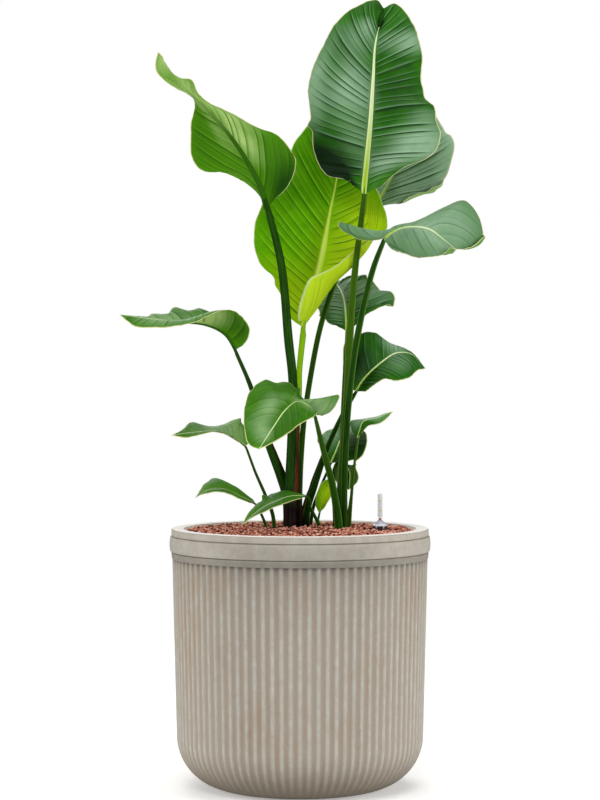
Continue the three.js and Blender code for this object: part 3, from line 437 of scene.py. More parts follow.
bladeLooks = {
    "01": {"skin": "mature", "pitch": 11, "lean": ((0.05, 0.33, 0.7), (0.16, 0.12, 0.42)), "pleat": 1.5,
        "ruffle": 1.6, "rib": 5.8, "ribEnd": 0.9,
        "shadeLightTones": [(-0.7, 0.1, 0.5, 0.12, -1.4), (-0.3, 0.03, 0.4, 0.05, -0.2), (0.05, 0.9, 0.1, 0.03, -1.3),
            (0.45, 0.54, 0.5, 0.14, -0.4), (-0.95, 0.15, 0.3, 0.14, -0.8), (-0.5, 0.97, 0.7, 0.05, -0.5),
            (0.5, 0.04, 0.6, 0.06, 0.35), (-0.22, 0.05, 0.16, 0.05, 0.6)],
        "waxSheenPatches": [(-0.32, 0.5, 0.4, 0.16, 0.95), (-0.45, 0.76, 0.4, 0.08, 0.45),
            (-0.95, 0.5, 0.22, 0.2, 0.85), (-0.2, 0.26, 0.3, 0.08, 0.4), (0.75, 0.27, 0.4, 0.09, 1.1),
            (0.75, 0.75, 0.4, 0.06, 0.9), (0.35, 0.14, 0.5, 0.07, 0.8), (0.85, 0.4, 0.25, 0.05, 0.4),
            (-0.3, 0.84, 0.25, 0.05, 0.6), (0.2, 0.8, 0.3, 0.06, 0.35)],
        "dents": [(0.0, 0.93, 0.16, 0.04, -5), (-0.75, 0.12, 0.4, 0.1, -6), (0.7, 0.5, 0.4, 0.1, -4)]},
    "02": {"skin": "young", "pitch": 13.5, "lean": ((0.5, 0.6, 0.8), (0.7, 0.8, 0.9)), "foldLean": 2.4,
        "pleat": 1.1, "ruffle": 1.4, "rib": 3.2,
        "shadeLightTones": [(-0.8, 0.57, 0.5, 0.16, -0.45), (0.6, 0.5, 0.5, 0.16, 0.8), (0.4, 0.27, 0.4, 0.16, 1.0),
            (-0.4, 0.1, 0.6, 0.13, 0.8), (-0.1, 0.92, 1.0, 0.16, -1.0)],
        "waxSheenPatches": [(-0.95, 0.62, 0.2, 0.04, 0.6)]},
    "03": {"pitch": 23, "lean": ((1.3, 1.5, 1.6), (1.5, 1.7, 1.8)), "pleat": 0.9, "ruffle": 1.6, "rib": 4.4,
        "ribFade": 2.2, "ribEnd": 0.82, "ribTaper": 0.5, "smoothTip": 0.4,
        "shadeLightTones": [(-0.8, 0.09, 0.6, 0.15, -1.0), (0.7, 0.45, 0.4, 0.2, -0.35), (0.8, 0.14, 0.35, 0.1, 0.4)],
        "waxSheenPatches": [(-0.65, 0.52, 0.45, 0.15, 0.85), (-0.25, 0.36, 0.25, 0.14, 0.85),
            (0.0, 0.72, 1.2, 0.1, 0.7), (0.2, 0.48, 0.18, 0.16, 0.45), (0.0, 0.95, 1.2, 0.07, 0.75),
            (-0.4, 0.84, 0.6, 0.08, 0.45), (0.8, 0.8, 0.4, 0.1, 0.45)]},
    "04": {"skin": "mature", "pitch": 9.5, "lean": ((0.2, 0.3, 0.6), (0.45, 0.5, 0.7)), "pleat": 1.4,
        "ruffle": 2.4, "rib": 3.0,
        "shadeLightTones": [(0.5, 0.4, 1.0, 0.3, 0.5)],
        "waxSheenPatches": [(0.5, 0.5, 1.4, 0.8, 1.8)],
        "rolls": [(1, 0.0, 0.28, 18, 1)]},
    "05": {"skin": "mature", "pitch": 15, "lean": ((0.3, 0.5, 0.9),), "pleat": 0.3, "ruffle": 1.6,
        "rib": 3.4,
        "shadeLightTones": [(0.3, 0.35, 0.3, 0.15, -0.2)],
        "waxSheenPatches": [(0.0, 0.5, 1.4, 0.9, 0.85)],
        "rolls": [(-1, 0.84, 0.99, 17, 1), (1, 0.8, 0.99, 15, 1), (1, 0.03, 0.4, 9, -1)]},
    "06": {"pitch": 15, "lean": ((0.3, 0.6, 0.9),), "pleat": 0.7, "ruffle": 1.8, "rib": 2.2,
        "shadeLightTones": [(0.9, 0.2, 0.3, 0.3, -0.5), (-0.6, 0.15, 0.6, 0.15, -0.5)],
        "waxSheenPatches": [(-0.3, 0.38, 0.45, 0.16, 1.1), (0.0, 0.68, 1.0, 0.25, 0.78)]},
    "07": {"pitch": 8, "pleat": 0.3, "ruffle": 1.3, "rib": 1.6,
        "shadeLightTones": [(0.0, 0.2, 1.0, 0.25, 0.7), (0.0, 1.0, 1.0, 0.05, -0.6)],
        "waxSheenPatches": [(0.0, 0.4, 1.0, 0.4, 0.9)]},
    "08": {"pitch": 17, "lean": ((0.3, 0.7, 1.2), (0.5, 0.8, 1.2)), "pleat": 0.2, "ruffle": 1.6, "rib": 2.6,
        "shadeLightTones": [(-0.6, 0.6, 0.6, 0.25, -0.45), (0.7, 0.45, 0.3, 0.15, -0.3), (0.0, 1.0, 1.5, 0.03, 0.8)],
        "waxSheenPatches": [(0.35, 0.6, 0.25, 0.15, 0.75), (0.3, 0.24, 0.25, 0.12, 0.75),
            (0.1, 0.83, 0.7, 0.11, 0.75), (-0.2, 0.15, 0.5, 0.12, 0.6), (0.6, 0.06, 0.6, 0.08, 0.7)]},
    "09": {"pitch": 9, "lean": ((0.4, 0.6, 1.0),), "pleat": 0.25, "ruffle": 1.0, "rib": 1.5,
        "shadeLightTones": [(0.0, 0.95, 0.9, 0.25, 0.5), (0.0, 0.3, 1.0, 0.3, -0.3)],
        "waxSheenPatches": [(0.0, 0.4, 0.5, 0.2, 0.45)]},
    "10": {"skin": "mature", "pitch": 9, "lean": ((0.2, 0.4, 0.7), (0.2, 0.3, 0.6)), "pleat": 1.3,
        "ruffle": 2.2, "rib": 2.4,
        "shadeLightTones": [(0.3, 0.2, 0.3, 0.1, -0.5)],
        "waxSheenPatches": [(-0.5, 0.4, 0.6, 0.3, 0.8), (0.7, 0.5, 0.5, 0.2, 0.7), (0.3, 0.64, 0.4, 0.12, 0.5)]},
    "11": {"skin": "mature", "pitch": 11, "lean": ((0.4, 0.7, 1.0), (0.3, 0.6, 0.9)), "pleat": 0.6,
        "ruffle": 1.6, "rib": 2.2,
        "shadeLightTones": [(-0.6, 0.2, 0.6, 0.2, -1.0), (0.6, 0.15, 0.5, 0.15, -0.5)],
        "waxSheenPatches": [(-0.45, 0.64, 0.4, 0.14, 1.0), (0.4, 0.55, 0.5, 0.2, 0.45)]},
    "12": {"skin": "mature", "pitch": 8, "lean": ((0.3, 0.5, 0.9),), "pleat": 0.5, "ruffle": 1.2,
        "rib": 1.8,
        "shadeLightTones": [(0.7, 0.4, 0.5, 0.4, -0.95)],
        "waxSheenPatches": [(-0.5, 0.45, 0.5, 0.3, 0.75)]},
    "13": {"skin": "mature", "pitch": 7, "pleat": 0.3, "ruffle": 1.2, "rib": 1.7,
        "shadeLightTones": [(0.0, 0.8, 1.2, 0.25, 0.9)],
        "waxSheenPatches": [(-0.6, 0.4, 0.6, 0.3, 0.9), (0.0, 0.7, 1.0, 0.3, 0.6)]},
    "14": {"skin": "mature", "pitch": 7, "pleat": 0.3, "ruffle": 0.9, "rib": 1.5,
        "shadeLightTones": [(0.0, 0.5, 1.2, 0.7, -0.8)]},
    "15": {"skin": "young", "pitch": 6, "pleat": 0.4, "ruffle": 0.8, "rib": 1.3,
        "shadeLightTones": [(0.3, 0.6, 0.8, 0.5, 0.9)]},
    "16": {"pitch": 7, "pleat": 0.25, "ruffle": 1.0, "rib": 1.4,
        "shadeLightTones": [(0.0, 0.9, 1.0, 0.2, 0.5)]},
}

# A leaf blade is thin tissue under a smooth cuticle: glossy green pleats with painted shade in their
# folds and a painted highlight on their crests, a pale woody midrib on top, a duller and yellower
# lower face, bluish wax with painted sheen, painted shade and light in patches and a dry cream edge.
# each layer's colour, and the gloss, on a mature, a young and a fresh leaf
skinTable = {
    # vein and underFoldShade are painted shade in the pleats' folds, crest and underCrestHighlight painted
    # highlights on their crests, deep and light painted shade and painted light, and the bloom colours wax
    # with painted sheen
    "upper": ("#2C6A0C", "#4C9000", "#346C14"), "upperAlt": ("#1F580A", "#62A402", "#467C1C"),
    "deep": ("#051F03", "#1E5E00", "#163F04"), "light": ("#4F9020", "#ACCC0E", "#6EA028"),
    "vein": ("#0D3208", "#236800", "#1A4A0C"), "crest": ("#8FB493", "#A6CC3C", "#98BC68"),
    "midrib": ("#C6DA7C", "#A9CC34", "#B4CE84"), "midribLine": ("#A2C42C", "#CBDF6A", "#C6D99A"),
    "midribPale": ("#E0E8C8", "#B8D250", "#D2E2B0"), "waxSheen": ("#90B090", "#A2CE80", "#8FB07C"),
    "under": ("#4D7A22", "#B6D424", "#468206"), "underFoldShade": ("#2C560E", "#92B810", "#235400"),
    "underCrestHighlight": ("#86B04A", "#CFE25A", "#7FB02C"), "underWaxSheen": ("#8FB070", "#C4D870", "#AAC678"),
    "underRib": ("#7FA548", "#A9CC3C", "#2C5806"), "underRibTip": ("#8FB458", "#B4D048", "#7FA052"),
    "edge": ("#D6D2A0", "#BCD080", "#CFD090"), "dry": ("#8A5A38", "#A8A44C", "#8A5A38"),
    "gloss": (0.38, 0.55, 0.45), "shine": (0.09, 0.03, 0.05),
}
leafSkins = {skin: {layer: row[place] for layer, row in skinTable.items()}
             for place, skin in enumerate(("mature", "young", "fresh"))}


# cloudy patches of the green, and the skin's own grain, drawn as coarse as it needs to show, in mm
leafGrain = {"mottle": 33.3, "speck": 2}


def leafTissue(skinName):
    skin = leafSkins[skinName]
    material, tree, place = newMaterial(skinName + " leaf tissue under a waxy cuticle")
    kept = {layer: addNode(tree, "Attribute", {"attribute_name": layer}).outputs["Fac"]
            for layer in ("side", "along", "ribPart", "edgeMm", "vein", "tone", "waxSheen", "crisp")}
    mottle = addNode(tree, "TexNoise", {"Vector": place, "Scale": grainScale(leafGrain["mottle"]),
                                        "Detail": 4, "Roughness": 0.6})
    speck = addNode(tree, "TexNoise", {"Vector": place, "Scale": grainScale(leafGrain["speck"]), "Detail": 2})
    # each pleat starts at a side vein with a lit crest and falls towards the tip into the dark fold
    # before the next one, all painted: a highlight on the crest, shade down the slope and in the fold;
    # six finer veins lie between two
    pleat = addNode(tree, "Math", {"operation": "FRACT", 0: kept["vein"]})
    fineVeins = addNode(tree, "Math", {"operation": "MULTIPLY", 0: kept["vein"], 1: 6.0})
    fineVeins = addNode(tree, "Math", {"operation": "PINGPONG", 0: fineVeins, 1: 0.5})
    ramps = {
        "patchy": (mottle, 0.35, 0.65, 0, 1, "LINEAR"),
        "dried": (mottle, 0.6, 0.68, 0, 1, "LINEAR"),
        "pleatShading": (pleat, 0, 1, 1.16, 0.74, "LINEAR"),
        "crown": (pleat, 0, 1, 1.15, 0.25, "LINEAR"),
        "foldShadeLine": (pleat, 0.7, 0.95, 0, 0.92, "SMOOTHSTEP"),
        "crestHighlightLine": (pleat, 0.02, 0.26, 0.4, 0, "SMOOTHSTEP"),
        "fineShade": (fineVeins, 0, 0.5, 0.95, 1.04, "LINEAR"),
        "rib": (kept["ribPart"], 0.8, 1.05, 1, 0, "SMOOTHSTEP"),
        "ribLine": (kept["ribPart"], 0.25, 0.6, 1, 0, "SMOOTHSTEP"),
        "besideRib": (kept["ribPart"], 1, 2.6, 0.9, 0, "LINEAR"),
        "margin": (kept["edgeMm"], 0.6, 2, 0.95, 0, "SMOOTHSTEP"),
        "darker": (kept["tone"], 0, -1, 0, 1, "LINEAR"),
        "lighter": (kept["tone"], 0, 1, 0, 1, "LINEAR"),
        "veined": (kept["crisp"], 0.3, 0.9, 0, 1, "LINEAR"),
        "farther": (kept["along"], 0.12, 0.45, 0, 0.62, "LINEAR"),
        "tipward": (kept["along"], 0.42, 0.8, 0, 1, "LINEAR"),
    }
    ramps = {name: addNode(tree, "MapRange", dict(zip(rampSockets, row))) for name, row in ramps.items()}
    for line in ("foldShadeLine", "crestHighlightLine"):
        ramps[line] = addNode(tree, "Math", {"operation": "MULTIPLY", 0: ramps[line], 1: kept["crisp"]})
    # wax lies on the crowns of the pleats and beside the midrib, in uneven patches, with painted sheen
    # over it that stands for the lamps' reflection
    crown = addNode(tree, "MixRGB", {"Fac": ramps["veined"], "Color1": (0.85, 0.85, 0.85, 1),
                                     "Color2": ramps["crown"]})
    waxSheenMask, beside = (addNode(tree, "Math", {"operation": "MULTIPLY", 0: where, 1: kept["waxSheen"]})
                   for where in (crown, ramps["besideRib"]))
    waxSheenMask = addNode(tree, "Math", {"operation": "MAXIMUM", 0: waxSheenMask, 1: beside})
    uneven = addNode(tree, "MapRange", {"Value": ramps["patchy"], "To Min": 0.8, "To Max": 1.08})
    ramps["waxSheenMask"] = addNode(tree, "Math", {"operation": "MULTIPLY", 0: waxSheenMask, 1: uneven})
    midrib = addNode(tree, "MixRGB", {"Fac": ramps["ribLine"], "Color1": skin["midrib"],
                                      "Color2": skin["midribLine"]})
    midrib = addNode(tree, "MixRGB", {"Fac": ramps["farther"], "Color1": midrib,
                                      "Color2": skin["midribPale"]})
    keel = addNode(tree, "MixRGB", {"Fac": ramps["tipward"], "Color1": skin["underRib"],
                                    "Color2": skin["underRibTip"]})
    upper = addNode(tree, "MixRGB", {"Fac": ramps["patchy"], "Color1": skin["upper"],
                                     "Color2": skin["upperAlt"]})
    faces = []
    for ground, waxy, crest, folded, rib in ((upper, "waxSheen", "crest", "vein", midrib),
                                             (skin["under"], "underWaxSheen", "underCrestHighlight", "underFoldShade", keel)):
        # each face: painted shade down each pleat's slope, then painted light, wax with painted sheen, a
        # painted highlight on the crest, painted shade in the fold and painted shade from the patches
        colour = addNode(tree, "MixRGB", {"blend_type": "MULTIPLY", "Fac": kept["crisp"], "Color1": ground,
                                          "Color2": ramps["pleatShading"]})
        for mask, tint in (("lighter", "light"), ("waxSheenMask", waxy), ("crestHighlightLine", crest),
                           ("foldShadeLine", folded), ("darker", "deep")):
            colour = addNode(tree, "MixRGB", {"Fac": ramps[mask], "Color1": colour, "Color2": skin[tint]})
        colour = addNode(tree, "MixRGB", {"blend_type": "MULTIPLY", "Fac": ramps["veined"],
                                          "Color1": colour, "Color2": ramps["fineShade"]})
        faces.append(addNode(tree, "MixRGB", {"Fac": ramps["rib"], "Color1": colour, "Color2": rib}))
    colour = addNode(tree, "MixRGB", {"Fac": kept["side"], "Color1": faces[0], "Color2": faces[1]})
    margin = addNode(tree, "MixRGB", {"Fac": ramps["dried"], "Color1": skin["edge"], "Color2": skin["dry"]})
    colour = addNode(tree, "MixRGB", {"Fac": ramps["margin"], "Color1": colour, "Color2": margin})
    gloss = addNode(tree, "MapRange", {"Value": ramps["patchy"], "To Min": skin["gloss"] - 0.05,
                                       "To Max": skin["gloss"] + 0.07})
    gloss = addNode(tree, "Math", {"operation": "MULTIPLY_ADD", 0: kept["side"], 1: 0.1, 2: gloss})
    relief = addNode(tree, "Math", {"operation": "MULTIPLY", 0: fineVeins, 1: ramps["veined"]})
    relief = addNode(tree, "Math", {"operation": "MULTIPLY_ADD", 0: speck, 1: 0.12, 2: relief})
    bump = addNode(tree, "Bump", {"Height": relief, "Strength": 0.25, "Distance": 0.4 * mm})
    finishMaterial(tree, {"Base Color": colour, "Roughness": gloss, "Normal": bump, "IOR": 1.46,
                          "Specular IOR Level": skin["shine"]})
    return material


leafMaterials = {skin: leafTissue(skin) for skin in leafSkins}
leafSlots = {"01": "leaf_dark", "04": "leaf_dark", "08": "leaf_dark", "10": "leaf_dark",
             "12": "leaf_dark", "14": "leaf_dark", "02": "leaf_bright", "15": "leaf_bright"}
bladeForm = {
    "sheet": 0.9,  # thickness, mm, and at the margin
    "edgeSheet": 0.45,
    "arch": 0.09,  # crown of each half, as a share of its width
    "ribTip": 0.7,  # half the midrib's width at the blade's tip, and how deep it is there, mm
    "ribTipDepth": 0.4,
    "ribStrips": (0.0, 0.4, 0.75, 1.0),
    "ribShare": 0.3,  # the most that the midrib takes up of a half
    "ribNarrowing": 0.08,  # over this share of the length before it sinks
    "webStrips": 26,  # and so many more for each mm that the veins lean
    "webPerLean": 11,
    "rollStrips": 9,
    "rowsPerVein": 12,
    "fewestRows": 60,
    "jag": 0.9,  # how unevenly the margin is cut, mm, and over what length
    "jagLength": 11,
    "ruffleLength": 9,
    "pleatRise": 5,  # mm from the midrib within which the pleats rise
    "pleatFade": 0.3,  # share of the width within which they flatten to the margin
    "baseFade": 0.05,
    "margin": 1.2,  # how far the edges stop from the tip, mm
    "rollRadius": 3.2,
    "rollTurn": 0.94,  # how much of half a turn a rolled margin makes
    "flapSlope": (0.98, 0.19),  # how it lies back beyond that
}


def halfAcross(middle, crease, edge, shares):
    # share 0 is the midrib and 1 the edge, and the crease lies half way
    s = shares[..., None]
    return (middle[:, None] * (1 - s) * (1 - 2 * s) + crease[:, None] * 4 * s * (1 - s)
            + edge[:, None] * s * (2 * s - 1))


def bladeFrame(rails, along):
    # midrib, edges and the upper side's direction at shares of the blade's length
    tip = np.array(rails["midrib"][-1], float)
    step = 1e-3
    heading = unit(evenCurve(rails["midrib"], np.minimum(along + step, 1))
                   - evenCurve(rails["midrib"], np.maximum(along - step, 0)))
    edges = {}
    for key in ("left", "right", "foldRight"):
        if key in rails:
            last = np.array(rails[key][-1], float)
            stops = [*rails[key], tuple(tip + unit(last - tip) * bladeForm["margin"])]
            edges[key] = evenCurve(stops, along)
    up = unit(np.cross(edges["right"] - edges["left"], heading))
    return evenCurve(rails["midrib"], along), heading, edges, up


def patches(listed, share, along):
    total = np.zeros_like(share)
    for across, lengthwise, wideness, longness, strength in listed:
        total += strength * np.exp(-((share - across) / wideness) ** 2
                                   - ((along[:, None] - lengthwise) / longness) ** 2)
    return total


def normalsOf(sheet):
    return unit(np.cross(np.gradient(sheet, axis=1), np.gradient(sheet, axis=0)))


def rollBack(sheet, normal, roll, along):
    # strips past the margin that turn back over (or under) the blade, and their width in mm
    side, start, end, width, over = roll
    swell = np.clip(np.sin(np.pi * np.clip((along - start) / (end - start), 0, 1)), 0, 1) ** 0.7
    wide = 0.3 + width * swell * (1 + 0.25 * wander(along * 40, 5))
    edge = sheet[:, -1 if side > 0 else 0]
    outward = unit(edge - sheet[:, -3 if side > 0 else 2])
    up = normal[:, -1 if side > 0 else 0] * over
    bend = np.minimum(wide * 0.3, bladeForm["rollRadius"])
    halfTurn, (back, lifted) = math.pi * bladeForm["rollTurn"], bladeForm["flapSlope"]
    shares = np.arange(1, bladeForm["rollStrips"] + 1) / bladeForm["rollStrips"]
    points = []
    for share in shares:
        run = share * wide
        turned = np.minimum(run / np.maximum(bend, 1e-6), halfTurn)
        rest = np.maximum(run - bend * halfTurn, 0)
        points.append(edge + outward * (bend * np.sin(turned) - rest * back)[:, None]
                      + up * (bend * (1 - np.cos(turned)) + rest * lifted)[:, None])
    return np.stack(points, 1), shares[None] * wide[:, None]


def widen(values, extra, side):
    return np.concatenate([values, extra] if side > 0 else [extra[:, ::-1], values], 1)


def bladeShape(number, rails, look):
    form, seed = bladeForm, int(number)
    coarse = evenCurve(rails["midrib"], np.linspace(0, 1, 60))
    length = np.linalg.norm(np.diff(coarse, axis=0), axis=1).sum()
    rows = int(max(form["fewestRows"], length / look["pitch"] * form["rowsPerVein"]))
    along = np.linspace(0, 1, rows + 1)
    middle, _, edges, up = bladeFrame(rails, along)
    ribHalf = form["ribTip"] + (look["rib"] - form["ribTip"]) * (1 - along) ** look["ribFade"]
    ribHalf = ribHalf * np.clip((look["ribEnd"] - along) / form["ribNarrowing"], 0.3, 1)
    halves, shares, widths = {}, {}, {}
    for side, key in ((-1, "left"), (1, "right")):
        edge = edges[key]
        width = np.linalg.norm(edge - middle, axis=1)
        crease = edges.get("fold" + key.capitalize())
        if crease is None:
            crease = (middle + edge) / 2 + up * form["arch"] * width[:, None]
        webStrips = int(form["webStrips"] + form["webPerLean"] * look["lean"][0][1])
        web = np.linspace(0, 1, webStrips + 1)[None, 1:] ** 0.95
        ribShare = np.minimum(form["ribShare"], ribHalf / width)[:, None]
        strips = np.concatenate([ribShare * np.array(form["ribStrips"])[None],
                                 ribShare + (1 - ribShare) * web], 1)
        cut = wander(along * length / form["jagLength"], 300 + 2 * seed + side)
        jag = form["jag"] * cut * np.minimum(width / 20, 1)
        halves[key] = (halfAcross(middle, crease, edge, strips)
                       + unit(edge - middle)[:, None] * (jag[:, None] * strips ** 6)[..., None])
        shares[key], widths[key] = strips, width
    sheet = np.concatenate([halves["left"][:, ::-1], halves["right"][:, 1:]], 1)
    share = np.concatenate([-shares["left"][:, ::-1], shares["right"][:, 1:]], 1)
    reach = np.where(share < 0, widths["left"][:, None], widths["right"][:, None])
    away = np.abs(share) * reach
    normal = normalsOf(sheet)
    # side veins leave the midrib and lean towards the tip
    lean = [np.interp(along, (0, 0.5, 1), look["lean"][place])[:, None] for place in (0, -1)]
    lean = np.where(share < 0, lean[0], lean[1])
    folded = np.maximum(np.abs(share) - 0.5, 0) * (share > 0) * look["foldLean"]
    vein = along[:, None] * length - lean * away * (1 + 0.12 * np.abs(share)) - folded * reach
    vein = vein / look["pitch"]
    vein = vein + 0.2 * np.sin(2.1 * vein + 1.3) + 0.12 * np.sin(0.9 * vein + 4.0)
    depth = np.clip(0.75 + 0.75 * wander(np.round(vein) * 1.7 + (share > 0) * 9, 11 + seed), 0.12, 1.25)
    fold = np.interp(np.mod(vein, 1), (0, 0.12, 0.5, 0.9, 1), (0.05, 0.5, 0.15, -0.5, 0.05))
    ends = np.clip(along / form["baseFade"], 0, 1) * np.clip((1 - along) / look["smoothTip"], 0, 1)
    ends = ends[:, None]
    crisp = (np.clip((away - ribHalf[:, None]) / form["pleatRise"], 0, 1)
             * np.clip((1 - np.abs(share)) / form["pleatFade"], 0, 1) * ends)
    waves = [wander(along * length / form["ruffleLength"] + 3 * side, 100 * seed + side)[:, None]
             for side in (0, 1)]
    lift = look["pleat"] * depth * fold * crisp
    lift = lift + look["ruffle"] * np.where(share < 0, *waves) * np.abs(share) ** 4 * ends
    lift = lift + patches(look["dents"], share, along)
    sheet = sheet + normal * lift[..., None]
    sunk = np.interp(along, (look["ribEnd"] - look["ribTaper"], look["ribEnd"] - 0.01, look["ribEnd"]),
                     (0, 0.6, 2))
    ribPart = away / ribHalf[:, None] + sunk[:, None]
    inRib = np.clip(ribPart, 0, 1)
    channel = 0.2 * ribHalf[:, None] * (inRib ** 2 - 0.5) * (inRib < 1) * (1 - along[:, None])
    keelDepth = ((rails["neck"] * 1.25 - form["ribTipDepth"]) * (1 - along[:, None]) ** 0.8
                 + form["ribTipDepth"])
    keel = keelDepth * np.sqrt(np.clip(1 - inRib ** 2, 0, 1))
    thick = form["sheet"] + (form["edgeSheet"] - form["sheet"]) * np.abs(share) ** 3
    # tone carries the patches of painted shade and painted light, and bloom the wax with painted sheen
    layers = {"along": columnOf(along, share.shape[1]), "ribPart": ribPart, "vein": vein + 50,
              "edgeMm": (1 - np.abs(share)) * reach,
              "tone": np.clip(patches(look["shadeLightTones"], share, along), -1, 1),
              "waxSheen": np.clip(1.3 * patches(look["waxSheenPatches"], share, along) - 0.22, 0, 1),
              "crisp": np.clip(crisp * depth, 0, 1) * min(1, 0.2 + 0.65 * look["pleat"])}
    for roll in look["rolls"]:
        side = roll[0]
        flap, past = rollBack(sheet, normal, roll, along)
        flat = np.zeros_like(past)
        last = {layer: columnOf(values[:, -1 if side > 0 else 0], form["rollStrips"])
                for layer, values in layers.items()}
        last["vein"] = last["vein"] + past * 0.02
        last["edgeMm"] = past.max(1, keepdims=True) - past
        layers["edgeMm"] = layers["edgeMm"] + past.max(1, keepdims=True) * (np.sign(share) == side)
        layers = {layer: widen(values, last[layer], side) for layer, values in layers.items()}
        sheet, share = widen(sheet, flap, side), widen(share, flat + side, side)
        channel, keel = widen(channel, flat, side), widen(keel, flat, side)
        thick = widen(thick, flat + form["edgeSheet"], side)
        normal = normalsOf(sheet)
    top = sheet + normal * (channel + thick / 2)[..., None]
    bottom = sheet - normal * (keel + thick / 2)[..., None]
    points = np.concatenate([top.reshape(-1, 3), bottom.reshape(-1, 3)]) * mm
    columns = share.shape[1]
    count = (rows + 1) * columns
    faces = [gridFaces(rows + 1, columns), gridFaces(rows + 1, columns, count, flip=True)]
    # the rim between the two sides, along both edges, the base and the tip
    for first, stride, steps, flip in ((0, columns, rows, False), (columns - 1, columns, rows, True),
                                       (0, 1, columns - 1, True), (rows * columns, 1, columns - 1, False)):
        start = first + stride * np.arange(steps)
        quads = np.stack([start, start + stride, start + stride + count, start + count], 1)
        faces.append(quads[:, (0, 3, 2, 1)] if flip else quads)
    layers = {layer: np.concatenate([values.ravel()] * 2) for layer, values in layers.items()}
    layers["side"] = np.repeat([0.0, 1.0], count)
    return points, np.concatenate(faces), layers


for number, rails in leafRails.items():
    look = {**usualBlade, **bladeLooks[number]}
    points, faces, layers = bladeShape(number, rails, look)
    piece = makePiece("blade" + number, points, faces, leafMaterials[look["skin"]], plantBody,
                      leafSlots.get(number, "leaf_fresh"), layers)
    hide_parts("leaf_" + number)
print("blades ready")

# A stalk is smooth fibrous rind: deep green with fine lengthwise streaks, a paler line along each side
# of its groove, painted sheen where its sides catch the light, and dry brown sheathing where it
# leaves the granules.
rind = {"green": "#1A4402", "streak": "#113001", "line": "#6F9440", "young": "#7CAE06", "brown": "#1A0F0C",
        "marginRed": "#5F2812", "marginDark": "#2A1610", "gloss": 0.42,
        "streaks": 6.5,  # so many across half a stalk, coarser than its fibres so that they show
        "patch": 25}  # how wide the waves of the brown's ragged edge are, mm
# for each stalk: how high the brown reaches over the granules, mm, and how young its green is
stalkLooks = {
    "02": (60, 1.0), "03": (95, 0.0), "04": (80, 0.05), "06": (30, 0.0), "11": (35, 0.0),
    "01": (8, 0.12), "13": (10, 0.2), "08": (6, 0.08), "05": (8, 0.0), "15": (4, 0.9),
}
usualStalk = (6, 0.05)
# a dry red-brown margin: on the right or not, from and to this height, and its width, all in mm
stalkMargins = {"03": (True, 424, 668, 8), "06": (True, 440, 600, 3.5), "11": (False, 430, 560, 3.5),
                "01": (True, 424, 478, 3), "13": (False, 424, 478, 3)}
stalkForm = {"sides": 32, "foot": 362, "bend": 396, "ringsPerSpan": 10, "neckBend": 9, "groove": 0.14,
             "grooveWidth": 0.9, "marginWidth": 0.22, "fuller": 1.16, "granules": 420}


def stalkRind():
    material, tree, place = newMaterial("fibrous green stalk rind")
    kept = {layer: addNode(tree, "Attribute", {"attribute_name": layer}).outputs["Fac"]
            for layer in ("turn", "rise", "brown", "young", "dry")}
    lengthwise = addNode(tree, "CombineXYZ", {0: kept["turn"], 1: kept["rise"]})
    streaks = addNode(tree, "TexNoise", {"Vector": lengthwise, "Scale": rind["streaks"], "Detail": 3})
    patch = addNode(tree, "TexNoise", {"Vector": place, "Scale": grainScale(rind["patch"]), "Detail": 2})
    # the groove lies at turn 0, and a paler line of painted sheen runs along each side of it
    offLine = addNode(tree, "Math", {"operation": "ABSOLUTE", 0: kept["turn"]})
    offLine = addNode(tree, "Math", {"operation": "SUBTRACT", 0: offLine, 1: 0.36})
    offLine = addNode(tree, "Math", {"operation": "ABSOLUTE", 0: offLine})
    ragged = addNode(tree, "Math", {"operation": "MULTIPLY_ADD", 0: patch, 1: 0.9, 2: -0.45})
    brown = addNode(tree, "Math", {"operation": "ADD", 0: kept["brown"], 1: ragged})
    ramps = {
        "streaked": (streaks, 0.42, 0.62, 0, 1, "LINEAR"),
        "line": (offLine, 0.02, 0.12, 0.45, 0, "SMOOTHSTEP"),
        "brown": (brown, 0.25, 0.75, 0, 1, "LINEAR"),
        "dry": (kept["dry"], 0.15, 0.5, 0, 1, "LINEAR"),
        "gloss": (streaks, 0, 1, rind["gloss"] - 0.06, rind["gloss"] + 0.12, "LINEAR"),
    }
    ramps = {name: addNode(tree, "MapRange", dict(zip(rampSockets, row))) for name, row in ramps.items()}
    green, margin = (addNode(tree, "MixRGB", {"Fac": ramps["streaked"], "Color1": rind[first],
                                              "Color2": rind[second]})
                     for first, second in (("green", "streak"), ("marginRed", "marginDark")))
    colour = green
    for mask, over in ((kept["young"], rind["young"]), (ramps["line"], rind["line"]),
                       (ramps["dry"], margin), (ramps["brown"], rind["brown"])):
        colour = addNode(tree, "MixRGB", {"Fac": mask, "Color1": colour, "Color2": over})
    bump = addNode(tree, "Bump", {"Height": streaks, "Strength": 0.3, "Distance": 0.6 * mm})
    finishMaterial(tree, {"Base Color": colour, "Roughness": ramps["gloss"], "Normal": bump, "IOR": 1.46,
                          "Specular IOR Level": 0.06})
    return material


